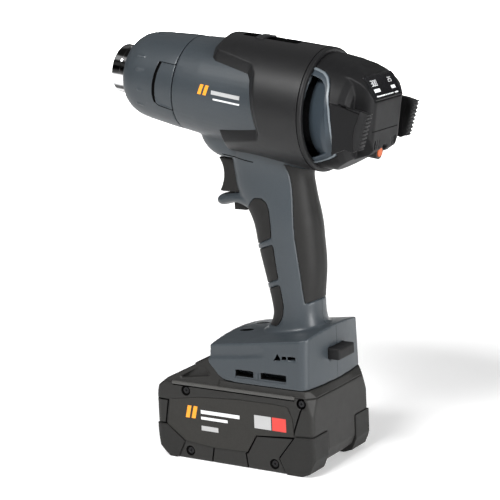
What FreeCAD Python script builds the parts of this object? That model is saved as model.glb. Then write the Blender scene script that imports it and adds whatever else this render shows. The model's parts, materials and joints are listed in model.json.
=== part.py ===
"""Cordless pistol-grip heat gun with a slide-on battery pack, as separate pieces.

Row frame: origin at the centre of the pack's flat underside, +Z up, nozzle towards -X,
the tool's left side towards -Y.  All sizes are in millimetres.
"""
import FreeCAD, Part
import math
import os

V = FreeCAD.Vector
os.makedirs("parts", exist_ok=True)

# ---------------------------------------------------------------- driving dimensions
GAP = 0.3                      # running gap between pieces that move apart
WALL = 2.5                     # moulded shell wall

BARREL_PITCH = 8.2             # degrees, nozzle end up
BARREL_HEIGHT = 255.6          # barrel axis above the underside, over the origin
BARREL_FRONT = -43.0           # seam between the barrel and the front cover, along the axis
BARREL_REAR = 62.0
BARREL_FRONT_R = 33.3
BARREL_MID = (-24.0, 34.6)     # distance along the axis, radius
BARREL_REAR_R = 37.6

NOZZLE_R = 17.3
NOZZLE_BACK_R = 17.0
NOZZLE_WALL = 0.9
NOZZLE_TIP = -104.6
NOZZLE_ROOT = -40.0
SLEEVE_WALL = 1.0
CORE_R = 12.6

JACKET_FRONT = -22.0
JACKET_REAR = 58.0
JACKET_R = (36.9, 40.2, 40.9, 41.9)

RING_R = 42.7
RING_WIDTH = 5.4
RING_BORE = 38.1
RING_X = 61.0
RING_Z = 246.8
RING_PITCH = 3.0

REAR_FACE = 106.4
REAR_BLOCK_HALF = 23.0
STAND_INNER = -29.8
STAND_OUTER = 36.4
STAND_ARM = 4.6                # thickness of a stand arm

FOOT_BOTTOM = 60.6
FOOT_REAR = 59.2
FOOT_BOW = 2.6                 # how far the rear face swells at the centre plane
FOOT_CORNERS = (2.5, 6.0)      # radius of the front and the rear upright edges
FOOT_TOP_SLOPE = 7.3
FOOT_HALF_BOTTOM = 38.9
FOOT_HALF_TOP = 36.6

PACK_FRONT = -65.0
PACK_REAR = 63.6
PACK_HALF = 38.9
PACK_DECK = 60.2
PACK_SPLIT = 55.0
PACK_CORNERS = (6.0, 3.0)      # radius of the front and the rear upright edges
BUMPER_PROUD = 0.8
RAIL_HALF = 24.0
RAIL_TOP = 70.0
RAIL_FRONT = -7.0
RAIL_REAR = 46.0

TERMINAL_ROWS = (-12.0, -6.0, 6.0, 12.0)

CELL_R = 10.6
CELL_LENGTH = 70.0
CELL_PITCH = 22.0
CELL_LAYERS = (17.0, 39.0)
CELL_MIDDLE_X = -2.7

# Housing screws: distance along the axis and height for the barrel, x and z for the rest,
# and how far each head stands from the centre plane.
BARREL_SCREWS = ((-30.0, -22.0), (50.0, 25.0), (-30.0, 22.4))
BARREL_SCREW_HEADS = (25.0, 23.4, 24.6)
HANDLE_SCREWS = ((26.0, 203.5), (37.0, 122.0), (-13.6, 78.5), (52.8, 79.0))
HANDLE_SCREW_HEADS = (16.0, 15.4, 34.5, 34.5)

TRIGGER_HALF = 7.8
STAGE_FRONT = -13.4
STAGE_REAR = -3.4
RELEASE_X = -40.0               # middle of the latch button on the wedge
SCREW_R = 1.9
SCREW_HEAD_R = 3.4

# Handle sections: height, front x, rear x, half width.
HANDLE = (
    (89.0, 3.0, 58.2, 25.5),
    (93.0, 9.0, 56.0, 20.8),
    (98.0, 13.4, 53.4, 18.4),
    (108.0, 15.6, 51.3, 17.0),
    (118.0, 13.6, 51.8, 17.0),
    (130.0, 10.7, 53.1, 17.5),
    (142.0, 7.7, 53.7, 18.0),
    (157.0, 4.4, 52.8, 18.3),
    (171.0, 1.0, 51.6, 18.6),
    (180.0, -4.0, 50.0, 18.4),
    (190.0, -9.5, 48.2, 18.0),
    (200.0, -11.6, 46.8, 17.7),
    (207.0, -12.6, 47.8, 17.9),
    (216.0, -13.5, 52.0, 19.5),
    (224.0, -14.0, 55.0, 21.0),
)
HANDLE_SQUARENESS = 2.4

# The brow over the trigger: height, front x, rear x, half width.
BROW = (
    (212.6, -25.0, 40.0, 14.2),
    (216.0, -31.5, 40.0, 15.6),
    (220.5, -36.0, 40.0, 16.6),
    (232.0, -40.0, 40.0, 18.5),
)

# The beak that guards the trigger from below: x, lowest z, highest z, half width.
BEAK = (
    (-28.6, 179.0, 182.4, 3.2),
    (-26.0, 177.0, 184.4, 6.2),
    (-17.0, 178.4, 186.6, 9.4),
    (-6.0, 178.2, 189.0, 12.0),
    (6.0, 176.0, 191.5, 15.0),
)


# ---------------------------------------------------------------- helpers
def barrel_place(shape):
    """Move a shape from barrel coordinates (x along the axis, z up) to the row frame."""
    placed = shape.copy()
    turn = FreeCAD.Rotation(V(0, 1, 0), BARREL_PITCH)
    placed.Placement = FreeCAD.Placement(V(0, 0, BARREL_HEIGHT), turn).multiply(placed.Placement)
    return placed


def barrel_point(along, side, up):
    """A point given in barrel coordinates, in the row frame."""
    turn = FreeCAD.Rotation(V(0, 1, 0), BARREL_PITCH)
    return FreeCAD.Placement(V(0, 0, BARREL_HEIGHT), turn).multVec(V(along, side, up))


def lathe(profile):
    """Turn a closed (x, radius) outline about the X axis."""
    points = [V(x, 0, r) for x, r in profile]
    face = Part.Face(Part.makePolygon(points + [points[0]]))
    return face.revolve(V(0, 0, 0), V(1, 0, 0), 360)


def tube(x0, x1, outer, inner):
    """A plain tube along X."""
    return lathe([(x0, inner), (x0, outer), (x1, outer), (x1, inner)])


def rod(x0, x1, radius, side=0.0, up=0.0):
    """A plain rod along X."""
    return Part.makeCylinder(radius, x1 - x0, V(x0, side, up), V(1, 0, 0))


def box(x0, x1, y0, y1, z0, z1):
    return Part.makeBox(x1 - x0, y1 - y0, z1 - z0, V(x0, y0, z0))


def side_prism(outline, y0, y1):
    """Extrude an (x, z) outline along Y."""
    points = [V(x, y0, z) for x, z in outline]
    face = Part.Face(Part.makePolygon(points + [points[0]]))
    return face.extrude(V(0, y1 - y0, 0))


def end_prism(outline, x0, x1):
    """Extrude a (y, z) outline along X."""
    points = [V(x0, y, z) for y, z in outline]
    face = Part.Face(Part.makePolygon(points + [points[0]]))
    return face.extrude(V(x1 - x0, 0, 0))


def upright_edges(shape, tolerance=0.01):
    """The straight edges of a shape that run along Z."""
    found = []
    for edge in shape.Edges:
        ends = edge.Vertexes
        if len(ends) == 2:
            step = ends[1].Point - ends[0].Point
            if abs(step.x) < tolerance and abs(step.y) < tolerance and abs(step.z) > tolerance:
                found.append(edge)
    return found


def rounded_box(x0, x1, y0, y1, z0, z1, radius):
    """A box with its four upright edges rounded."""
    block = box(x0, x1, y0, y1, z0, z1)
    return block.makeFillet(radius, upright_edges(block))


def superellipse(height, x_front, x_rear, half_width, squareness):
    """A closed smooth outline in a level plane."""
    centre = (x_front + x_rear) / 2
    half_length = (x_rear - x_front) / 2
    points = []
    count = 24
    for i in range(count):
        angle = 2 * math.pi * i / count
        c = math.cos(angle)
        s = math.sin(angle)
        x = centre + half_length * math.copysign(abs(c) ** (2 / squareness), c)
        y = half_width * math.copysign(abs(s) ** (2 / squareness), s)
        points.append(V(x, y, height))
    curve = Part.BSplineCurve()
    curve.interpolate(points, PeriodicFlag=True)
    return Part.Wire(curve.toShape())


def level_loft(sections, inset=0.0):
    """A smooth solid through level superellipse sections, drawn in by inset all round."""
    wires = []
    for height, x_front, x_rear, half_width in sections:
        wires.append(superellipse(height, x_front + inset, x_rear - inset, half_width - inset,
                                  HANDLE_SQUARENESS))
    return Part.makeLoft(wires, True, False)


def cross_loft(sections):
    """A smooth solid through upright elliptical sections, each given at an x."""
    wires = []
    for x, low, high, half_width in sections:
        points = []
        for i in range(20):
            angle = 2 * math.pi * i / 20
            points.append(V(x, half_width * math.cos(angle),
                            (low + high) / 2 + (high - low) / 2 * math.sin(angle)))
        curve = Part.BSplineCurve()
        curve.interpolate(points, PeriodicFlag=True)
        wires.append(Part.Wire(curve.toShape()))
    return Part.makeLoft(wires, True, False)


def mirror_y(shape):
    return shape.mirror(V(0, 0, 0), V(0, 1, 0))


def helix_spring(start, direction, length, radius, wire, turns):
    """A round-wire compression spring as one swept solid."""
    helix = Part.makeHelix(length / turns, length, radius)
    profile = Part.Wire(Part.makeCircle(wire, V(radius, 0, 0), V(0, 1, 0)))
    spring = Part.Wire(helix).makePipeShell([profile], True, True)
    spring.Placement = FreeCAD.Placement(start, FreeCAD.Rotation(V(0, 0, 1), direction))
    return spring


def ribbon_coil(start, direction, length, radius, turns):
    """A heating ribbon of rectangular section wound into a coil."""
    helix = Part.makeHelix(length / turns, length, radius)
    corners = [V(radius - 0.45, 0, -0.8), V(radius + 0.45, 0, -0.8), V(radius + 0.45, 0, 0.8),
               V(radius - 0.45, 0, 0.8), V(radius - 0.45, 0, -0.8)]
    coil = Part.Wire(helix).makePipeShell([Part.makePolygon(corners)], True, True)
    coil.Placement = FreeCAD.Placement(start, FreeCAD.Rotation(V(0, 0, 1), direction))
    return coil


def save(name, shape):
    """Write one node and report anything that isn't a closed valid solid."""
    solids = shape.Solids
    whole = solids[0] if len(solids) == 1 else Part.makeCompound(solids)
    box_ = whole.BoundBox
    note = "" if whole.isValid() and solids else "  <-- NOT VALID"
    print("%-22s %2d solid(s) %9.0f mm3  x %.1f..%.1f y %.1f..%.1f z %.1f..%.1f%s" % (
        name, len(solids), whole.Volume, box_.XMin, box_.XMax, box_.YMin, box_.YMax,
        box_.ZMin, box_.ZMax, note))
    whole.exportStep("parts/%s.step" % name)


# ---------------------------------------------------------------- shared outlines
def barrel_radius(along):
    """Outer radius of the grey barrel at a distance along its axis."""
    if along < BARREL_MID[0]:
        share = (along - BARREL_FRONT) / (BARREL_MID[0] - BARREL_FRONT)
        return BARREL_FRONT_R + share * (BARREL_MID[1] - BARREL_FRONT_R)
    share = (along - BARREL_MID[0]) / (BARREL_REAR - BARREL_MID[0])
    return BARREL_MID[1] + share * (BARREL_REAR_R - BARREL_MID[1])


def barrel_solid(inset=0.0):
    """The grey barrel's outer form, in barrel coordinates."""
    return lathe([(BARREL_FRONT, 0), (BARREL_FRONT, BARREL_FRONT_R - inset),
                  (BARREL_MID[0], BARREL_MID[1] - inset), (BARREL_REAR, BARREL_REAR_R - inset),
                  (BARREL_REAR, 0)])


def footprint(height, front, rear, half, corners, bow):
    """A level outline with rounded corners and a rear side that swells by bow."""
    tip, heel = corners
    near = tip * (1 - math.sqrt(0.5))
    far = heel * (1 - math.sqrt(0.5))
    a = V(front + tip, -half, height)
    b = V(rear - heel, -half, height)
    c = V(rear, -half + heel, height)
    d = V(rear, half - heel, height)
    e = V(rear - heel, half, height)
    f = V(front + tip, half, height)
    g = V(front, half - tip, height)
    h = V(front, -half + tip, height)
    edges = [Part.LineSegment(a, b).toShape(),
             Part.Arc(b, V(rear - far, -half + far, height), c).toShape(),
             Part.Arc(c, V(rear + bow, 0, height), d).toShape(),
             Part.Arc(d, V(rear - far, half - far, height), e).toShape(),
             Part.LineSegment(e, f).toShape(),
             Part.Arc(f, V(front + near, half - near, height), g).toShape(),
             Part.LineSegment(g, h).toShape(),
             Part.Arc(h, V(front + near, -half + near, height), a).toShape()]
    return Part.Wire(edges)


# Side outline of the foot's front end and of its underside where it curves up to the front.
FOOT_NOSE = ((6.6, FOOT_BOTTOM), (-4.0, 61.1), (-7.4, 62.0), (-10.1, 63.4), (-12.3, 65.1),
             (-14.5, 67.3), (-18.6, 71.6), (-19.8, 73.2), (-17.6, 84.6))


def foot_form():
    """The foot under the handle: drafted sides, bowed rear, crowned sloping top."""
    block = Part.makeLoft([footprint(FOOT_BOTTOM, -21.0, FOOT_REAR, FOOT_HALF_BOTTOM, FOOT_CORNERS,
                                     FOOT_BOW),
                           footprint(100.0, -21.0, FOOT_REAR, FOOT_HALF_TOP, FOOT_CORNERS,
                                     FOOT_BOW)], True, True)
    side = side_prism(FOOT_NOSE + ((-17.6, 100), (64, 100), (64, FOOT_BOTTOM)), -50, 50)
    crown_radius = 195.0
    slope = math.radians(FOOT_TOP_SLOPE)
    crown_top = 89.8
    axis_start = V(-60 * math.cos(slope), 0, crown_top - crown_radius - 60 * math.sin(slope))
    crown = Part.makeCylinder(crown_radius, 160, axis_start,
                              V(math.cos(slope), 0, math.sin(slope)))
    return block.common(side).common(crown)


# ---------------------------------------------------------------- housing
PALM = ((24.0, 216.2), (31.2, 213.3), (35.3, 208.9), (37.3, 202.8), (38.6, 195.3), (39.6, 183.0),
        (41.0, 158.0), (43.6, 137.0), (44.6, 124.0), (45.3, 114.0), (51.0, 116.2), (70.0, 120.0),
        (70.0, 223.0), (24.0, 223.0))
FINGER_UPPER = ((-12.0, 173.5), (0.5, 177.0), (4.5, 180.3), (6.9, 183.4), (10.2, 186.2),
                (16.2, 186.6), (20.6, 183.6), (22.4, 178.8), (23.2, 169.1), (23.3, 159.4),
                (-12.0, 144.7))
FINGER_MIDDLE = ((-12.0, 142.0), (24.2, 155.0), (27.2, 130.9), (-12.0, 115.4))
FINGER_LOWER = ((-12.0, 111.8), (28.1, 127.0), (30.3, 112.3), (29.6, 105.6), (27.6, 101.0),
                (24.5, 97.4), (-12.0, 95.6))


def grip_panel(outline, proud=0.0, depth=2.0):
    """A soft inlay let into the handle's surface over a side outline."""
    outer = level_loft(HANDLE, -proud)
    inner = level_loft(HANDLE, depth)
    barrel = barrel_place(rod(-20.0, 75.0, JACKET_R[3] + 0.3))
    return outer.common(side_prism(outline, -40, 40)).cut([inner, barrel])


def trigger_slot(margin):
    """The space in the trigger housing that the trigger slides in."""
    return box(-34.0, 6.0 + margin, -TRIGGER_HALF - margin, TRIGGER_HALF + margin,
               187.4 - margin, 211.6 + margin)


def housing_outer():
    handle = level_loft(HANDLE)
    brow = level_loft(BROW)
    beak = cross_loft(BEAK)
    barrel = barrel_place(barrel_solid())
    return barrel.fuse([handle, brow, beak, foot_form()])


def housing_cavity():
    """The hollow inside both housing halves."""
    barrel_front = barrel_place(tube(-60.0, BARREL_FRONT + WALL, 17.4, 0.0))
    bore = barrel_place(lathe([(BARREL_FRONT + WALL, 0),
                               (BARREL_FRONT + WALL, BARREL_FRONT_R - 3.4),
                               (BARREL_MID[0], BARREL_MID[1] - WALL),
                               (BARREL_REAR + 1, BARREL_REAR_R - WALL), (BARREL_REAR + 1, 0)]))
    handle = level_loft(HANDLE[3:-1], 4.8)
    neck = rounded_box(20, 44, -11, 11, 80, 112, 5)
    return bore.fuse([barrel_front, handle, neck])


def foot_cavity():
    """The hollow in the foot that takes the pack's rail block, open to the front and below."""
    room = box(-30.0, RAIL_REAR + 2.0, -RAIL_HALF - 5.0, RAIL_HALF + 5.0,
               FOOT_BOTTOM - 1, RAIL_TOP + 1.0)
    upper = box(-8.0, 50.0, -30, 30, RAIL_TOP - 1, 82.0)
    return room.fuse(upper)


def foot_vents():
    """Slots through the foot's side wall, on the left side."""
    slots = [box(3.0, 16.9, -45, -30, 65.6, 69.6), box(23.3, 43.2, -45, -30, 65.6, 69.6),
             box(40.2, 43.4, -45, -30, 80.9, 83.0), box(44.8, 50.6, -45, -30, 81.1, 83.2),
             side_prism([(33.8, 79.7), (36.6, 84.2), (38.9, 80.2)], -45, -30)]
    return slots[0].fuse(slots[1:])


def rail(side):
    """A guide rail inside the foot that the pack's groove slides on."""
    y0 = 21.0 if side > 0 else -29.5
    return box(-9.0, RAIL_REAR + 1.0, y0, y0 + 8.5, 62.6, 66.0)


def screw_places():
    """Screw axes through the housing, as (x, z)."""
    spots = []
    for along, up in BARREL_SCREWS:
        point = barrel_point(along, 0, up)
        spots.append((point.x, point.z))
    return spots + list(HANDLE_SCREWS)


def screw_heads():
    """How far out from the centre plane each housing screw's head seat lies."""
    return BARREL_SCREW_HEADS + HANDLE_SCREW_HEADS


def screw_solid(x, z, head_at, length=12.0):
    """A pan-head screw entering from the right side."""
    head = Part.makeCylinder(SCREW_HEAD_R, 1.6, V(x, head_at - 1.6, z), V(0, 1, 0))
    shank = Part.makeCylinder(SCREW_R, length, V(x, head_at - 1.6 - length, z), V(0, 1, 0))
    drive = box(x - 1.8, x + 1.8, head_at - 0.7, head_at + 1, z - 0.4, z + 0.4)
    cross = box(x - 0.4, x + 0.4, head_at - 0.7, head_at + 1, z - 1.8, z + 1.8)
    return head.fuse(shank).cut(drive.fuse(cross))


def boss(x, z, head_at):
    """The moulded post that one housing screw runs through."""
    return Part.makeCylinder(4.6, 2 * head_at + 6, V(x, -head_at - 3, z), V(0, 1, 0))


def make_housing():
    outer = housing_outer()
    shell = outer.cut(housing_cavity()).cut(foot_cavity())
    heads = screw_heads()
    posts = [boss(x, z, heads[i]) for i, (x, z) in enumerate(screw_places())]
    shell = shell.fuse([post.common(outer) for post in posts])
    shell = shell.fuse([rail(1), rail(-1)]).cut(foot_vents().fuse(mirror_y(foot_vents())))
    stage_pocket = box(STAGE_FRONT - GAP, STAGE_REAR + GAP, -5.3, 5.3, 172, 182)
    stage_pocket = stage_pocket.fuse(box(STAGE_FRONT - 1.3, STAGE_REAR + 1.3, -6.4, 6.4, 180.1, 185.6))
    switch_room = box(-6, 22, -8.2, 8.2, 188, 211.9)
    shell = shell.cut([trigger_slot(GAP), stage_pocket, switch_room, hang_channel()])
    shell = shell.cut(behind_ring(RING_WIDTH / 2 - 0.2))
    shell = shell.cut([barrel_place(cover_flat()), mirror_y(barrel_place(cover_flat()))])
    shell = shell.cut(box(55.2, 75.0, -10.9, 10.9, 76.4, 84.6))
    panels = [grip_panel(PALM), grip_panel(FINGER_UPPER), grip_panel(FINGER_MIDDLE),
              grip_panel(FINGER_LOWER)]
    shell = shell.cut(panels)
    for i, (x, z) in enumerate(screw_places()):
        head_at = heads[i]
        bore = Part.makeCylinder(SCREW_R + 0.05, 2 * head_at, V(x, head_at - 13.7, z), V(0, 1, 0))
        sink = Part.makeCylinder(SCREW_HEAD_R + 0.1, 40, V(x, head_at - 1.6, z), V(0, 1, 0))
        shell = shell.cut(bore.fuse(sink))
    left = shell.common(box(-200, 200, -100, 0, 0, 400))
    right = shell.common(box(-200, 200, 0, 100, 0, 400))
    save("housing_left", left)
    save("housing_right", right)
    save("palm_grip", panels[0])
    save("finger_grip_upper", grip_panel(FINGER_UPPER))
    save("finger_grip_middle", grip_panel(FINGER_MIDDLE))
    save("finger_grip_lower", grip_panel(FINGER_LOWER))


# ---------------------------------------------------------------- ring, jacket and rear cover
def behind_ring(offset):
    """Half space behind the ring's centre plane moved back by offset, in the row frame."""
    block = box(offset, 200, -120, 120, -120, 120)
    turn = FreeCAD.Rotation(V(0, 1, 0), RING_PITCH)
    centre = V(RING_X, 0, RING_Z)
    block.Placement = FreeCAD.Placement(centre, turn).multiply(block.Placement)
    return block


def make_rear_ring():
    band = lathe([(-RING_WIDTH / 2, RING_BORE), (-RING_WIDTH / 2 + 0.9, RING_R - 0.4),
                  (-RING_WIDTH / 2 + 1.6, RING_R), (RING_WIDTH / 2 - 1.0, RING_R - 0.3),
                  (RING_WIDTH / 2, RING_R - 1.6), (RING_WIDTH / 2, RING_BORE)])
    turn = FreeCAD.Rotation(V(0, 1, 0), RING_PITCH)
    band.Placement = FreeCAD.Placement(V(RING_X, 0, RING_Z), turn)
    save("rear_ring", band)


# Side outline of the grey area that the jacket leaves bare: distance along the axis, height.
BARE = ((-60.0, 31.0), (-20.5, 30.4), (-17.4, 24.8), (-13.7, 22.9), (14.6, 19.2), (17.3, 16.5),
        (20.2, 7.3), (23.9, -7.6), (25.8, -15.4), (-6.2, -22.3), (-11.6, -38.6), (-12.6, -60.0),
        (-60.0, -60.0))
HANG_CHANNEL = (-6.0, 37.5, 6.8)
HANG_BAR = (6.0, 12.0, 9.2)
HANG_BAR_R = 42.0
HANG_BAR_BORE = 40.4
HANG_FLOOR = 34.4


def hang_channel():
    """The channel along the top of the barrel that a strap passes through."""
    front, rear, half = HANG_CHANNEL
    return barrel_place(rounded_box(front, rear, -half, half, HANG_FLOOR, 60, 3))


def hang_bar():
    front, rear, half = HANG_BAR
    arch = tube(front, rear, HANG_BAR_R, HANG_BAR_BORE)
    bar = arch.common(box(front, rear, -half, half, 0, 60))
    feet = tube(front, rear, HANG_BAR_BORE, 38.2).common(box(front, rear, 6.9, half, 0, 60))
    return barrel_place(bar.fuse([feet, mirror_y(feet)]))


def make_jacket():
    tube_ = lathe([(JACKET_FRONT, barrel_radius(JACKET_FRONT) + 0.05), (JACKET_FRONT, JACKET_R[0]),
                   (JACKET_FRONT + 4.5, JACKET_R[1]), (-4.0, JACKET_R[2]), (70.0, JACKET_R[3]),
                   (70.0, barrel_radius(70.0) + 0.05),
                   (BARREL_MID[0] + 3.0, barrel_radius(BARREL_MID[0] + 3.0) + 0.05)])
    bare = side_prism(BARE, -60, 60)
    jacket = barrel_place(tube_.cut(bare)).cut(behind_ring(-RING_WIDTH / 2 - 0.05))
    jacket = jacket.cut([level_loft(HANDLE, -0.1), level_loft(BROW, -0.1), hang_channel(),
                         hang_bar()])
    solids = sorted(jacket.Solids, key=lambda s: s.Volume)
    save("barrel_jacket", solids[-1])
    save("hang_bar", hang_bar())


COVER_PROFILE = ((56.0, 38.5), (70.0, 38.7), (80.0, 37.9), (86.5, 36.4), (90.5, 34.0), (93.0, 30.0))
CROWN = ((56.0, 38.6), (73.4, 38.2), (81.0, 37.5), (88.5, 36.6), (96.3, 34.6), (104.0, 31.0),
         (107.0, 28.5))
BLOCK_END = ((-REAR_BLOCK_HALF, 60.0), (-REAR_BLOCK_HALF, -6.0), (-13.5, -20.0), (-13.5, -60.0), (13.5, -60.0),
             (13.5, -20.0), (REAR_BLOCK_HALF, -6.0), (REAR_BLOCK_HALF, 60.0))
BLOCK_SIDE = ((60.0, 38.0), (84.0, 37.0), (95.5, 31.0), (105.9, 16.4), (REAR_FACE, 14.0),
              (REAR_FACE, -17.5), (102.5, -21.5), (86.0, -29.5), (60.0, -36.0))
ARM_SIDE = ((72.0, 258.0), (103.8, 252.0), (108.7, 250.4), (101.6, 226.2), (97.8, 224.6),
            (93.0, 226.5), (80.0, 221.5), (72.0, 221.0))
WINDOW_SIDE = ((50.0, 32.2), (63.2, 31.1), (70.7, 29.8), (75.0, 27.1), (78.1, 22.6), (79.6, 16.8),
               (82.4, 9.3), (84.2, 1.3), (85.8, -8.8), (86.6, -18.7), (86.8, -22.6), (80.1, -26.9),
               (70.7, -31.3), (50.0, -36.0))
# Front edge of the rubber pad that wraps the rear of a stand arm.
PAD_EDGE = ((105.6, 253.0), (102.6, 245.6), (100.4, 241.0), (99.2, 234.5), (99.0, 229.1),
            (100.9, 221.0))
DIAL_UP = -21.4
DIAL_FRONT = 89.0
DIAL_REAR = 103.2
DIAL_R = 4.8
DIAL_BORE = 6.0
DISPLAY_CENTRE = (101.2, 23.1)
DISPLAY_TILT = 35.4
DISPLAY_HALF = (17.6, 7.6)
BEZEL_HALF = (19.2, 8.8)


def inset_outline(outline, centre, amount):
    """Draw an outline in towards its centre by about amount."""
    drawn = []
    for x, z in outline:
        dx = x - centre[0]
        dz = z - centre[1]
        reach = math.hypot(dx, dz)
        drawn.append((centre[0] + dx * (reach - amount) / reach,
                      centre[1] + dz * (reach - amount) / reach))
    return drawn


def display_place(shape):
    """Place a shape built about the display's centre, x out of the glass."""
    placed = shape.copy()
    turn = FreeCAD.Rotation(V(0, 1, 0), -DISPLAY_TILT)
    centre = V(DISPLAY_CENTRE[0], 0, DISPLAY_CENTRE[1])
    placed.Placement = FreeCAD.Placement(centre, turn).multiply(placed.Placement)
    return barrel_place(placed)


def crown_form(proud):
    """The domed envelope that trims the rear block's top corners, in barrel coordinates."""
    return lathe([(CROWN[0][0], 0)] + [(x, r + proud) for x, r in CROWN] + [(CROWN[-1][0], 0)])


def cover_form(inset):
    """The rear cover's outer form, in barrel coordinates."""
    rim = [(x - (inset if x > 80 else 0), r - inset) for x, r in COVER_PROFILE]
    drum = lathe([(rim[0][0], 0)] + rim + [(rim[-1][0], 0)])
    drum = drum.cut(side_prism([(76.0, -38.9 + inset), (93.0, -25.4 + inset), (120, -25), (120, -90),
                                (60, -90), (60, -39.5 + inset)], -60, 60))
    block = rounded_box(60, REAR_FACE - inset, -REAR_BLOCK_HALF + inset, REAR_BLOCK_HALF - inset,
                        -60, 60, 7.0 - min(inset, 2.0))
    outline = inset_outline(BLOCK_SIDE, (85.0, 0.0), inset * 1.1) if inset else BLOCK_SIDE
    ends = inset_outline(BLOCK_END, (0.0, 0.0), inset * 1.2) if inset else BLOCK_END
    block = block.common(side_prism(outline, -60, 60)).common(end_prism(ends, 40, 120))
    return drum.fuse(block.common(crown_form(-inset)))


def stand_arm():
    """The left side's arm that carries one stand pad."""
    arm = side_prism(ARM_SIDE, -STAND_OUTER, -STAND_OUTER + STAND_ARM)
    return arm.cut(pad_zone())


def pad_zone():
    """The space behind the pad's front edge, on the left."""
    return side_prism(PAD_EDGE + ((115.0, 221.0), (115.0, 253.0)), -STAND_OUTER - 1, STAND_INNER + 1)


def stand_pad():
    """The left side's ribbed rubber tip, on the rear edge of the arm."""
    top = V(111.0, 0, 249.8)
    bottom = V(103.9, 0, 226.4)
    pad = side_prism([(108.75, 250.3), (111.0, 249.8), (103.9, 226.4), (101.65, 226.1)],
                     -STAND_OUTER, STAND_INNER)
    grooves = []
    count = 9
    for i in range(count):
        share = (i + 0.5) / count
        x = top.x + (bottom.x - top.x) * share
        z = top.z + (bottom.z - top.z) * share
        grooves.append(box(x - 0.9, x + 3, -STAND_OUTER - 1, STAND_INNER + 1, z - 0.55, z + 0.55))
    wrap = side_prism(ARM_SIDE, -STAND_OUTER, -STAND_OUTER + STAND_ARM).common(pad_zone())
    return pad.cut(grooves).fuse(wrap)


def window(margin):
    """The side window in the rear cover, on the left, in the row frame."""
    outline = inset_outline(WINDOW_SIDE, (66.0, -3.0), margin) if margin else WINDOW_SIDE
    return barrel_place(side_prism(outline, -60, -8))


def scoop():
    """The grey insert that fills the left window and dips towards the ring."""
    skin = lathe([(50.0, 27.4), (50.0, 38.35), (70.0, 38.55), (80.0, 37.75), (89.0, 35.0),
                  (89.0, 33.0), (76.0, 33.6), (62.0, 27.4)])
    dip = lathe([(50.0, 29.6), (62.0, 29.6), (77.0, 36.2), (84.0, 38.2), (84.0, 60), (50.0, 60)])
    hollow = barrel_place(dip).common(window(4.6))
    body = barrel_place(skin).common(window(0.15)).cut(hollow)
    return body.cut(behind_ring(-100).cut(behind_ring(RING_WIDTH / 2 + 0.1)))


def make_rear_cover():
    outer = barrel_place(cover_form(0.0))
    tunnel = barrel_place(rod(86.5, 104.0, DIAL_BORE + 1.6, 0, DIAL_UP).common(cover_form(0.0)))
    arms = [stand_arm(), mirror_y(stand_arm())]
    shell = outer.cut(barrel_place(cover_form(WALL))).fuse([tunnel] + arms)
    shell = shell.cut(barrel_place(rod(88.6, 110.0, DIAL_BORE, 0, DIAL_UP)))
    shell = shell.cut(barrel_place(rod(80.0, 92.0, 2.3, 0, DIAL_UP)))
    shell = shell.cut(display_place(box(-7, 4, -BEZEL_HALF[0] - 0.05, BEZEL_HALF[0] + 0.05,
                                        -BEZEL_HALF[1] - 0.05, BEZEL_HALF[1] + 0.05)))
    shell = shell.cut([window(0.0), mirror_y(window(0.0))])
    vents = []
    for i in range(3):
        for y in (9.0 + 2.4 * i, -9.0 - 2.4 * i):
            vents.append(barrel_place(box(103, 110, y - 0.6, y + 0.6, -17, -11)))
    shell = shell.cut(vents).common(behind_ring(RING_WIDTH / 2 + 0.05))
    shell = shell.cut([scoop(), mirror_y(scoop())])
    save("rear_cover", sorted(shell.Solids, key=lambda s: s.Volume)[-1])
    save("intake_scoop_left", scoop())
    save("intake_scoop_right", mirror_y(scoop()))
    save("air_filter", barrel_place(tube(56.0, 86.0, 26.4, 25.0)))
    save("stand_pad_left", stand_pad())
    save("stand_pad_right", mirror_y(stand_pad()))


def make_display():
    half_y, half_z = DISPLAY_HALF
    bezel_y, bezel_z = BEZEL_HALF
    frame = box(-3.0, 0.25, -bezel_y, bezel_y, -bezel_z, bezel_z)
    frame = frame.cut(box(-1.4, 1, -half_y, half_y, -half_z, half_z))
    frame = frame.cut(box(-4, 1, -half_y + 1.2, half_y - 1.2, -half_z + 1.2, half_z - 1.2))
    frame = display_place(frame).common(barrel_place(crown_form(0.3)))
    window_ = box(-1.35, -0.15, -half_y + 0.05, half_y - 0.05, -half_z + 0.05, half_z - 0.05)
    module = box(-6.5, -1.45, -half_y + 1.3, half_y - 1.3, -half_z + 1.3, half_z - 1.3)
    save("display_frame", frame)
    save("display_window", display_place(window_))
    save("display_module", display_place(module))
    board = box(89.5, 91.1, -13, 13, -12.5, 12)
    chips = [box(87.5, 89.5, -12, -4, -10, -2), box(88.0, 89.5, 2, 11, -6, 6),
             box(86.5, 89.5, -9, -1, 3, 9)]
    save("control_board", barrel_place(board.fuse(chips)))


def make_dial():
    knob = rod(DIAL_FRONT, DIAL_REAR, DIAL_R, 0, DIAL_UP)
    grooves = []
    count = 16
    for i in range(count):
        angle = 2 * math.pi * i / count
        side = (DIAL_R + 0.25) * math.sin(angle)
        up = DIAL_UP + (DIAL_R + 0.25) * math.cos(angle)
        grooves.append(rod(DIAL_FRONT + 1.5, DIAL_REAR - 2.0, 0.6, side, up))
    stem = rod(83.0, DIAL_FRONT, 2.0, 0, DIAL_UP)
    knob = knob.cut(grooves).fuse(stem)
    cap = rod(DIAL_REAR - 1.0, DIAL_REAR + 0.5, 3.1, 0, DIAL_UP)
    encoder = box(79.0, 86.3, -5.5, 5.5, DIAL_UP - 2.6, DIAL_UP + 6.0)
    encoder = encoder.cut(rod(82.7, 88, 2.05, 0, DIAL_UP))
    save("setting_dial", barrel_place(knob.cut(cap)))
    save("dial_cap", barrel_place(cap))
    save("dial_encoder", barrel_place(encoder))


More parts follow.
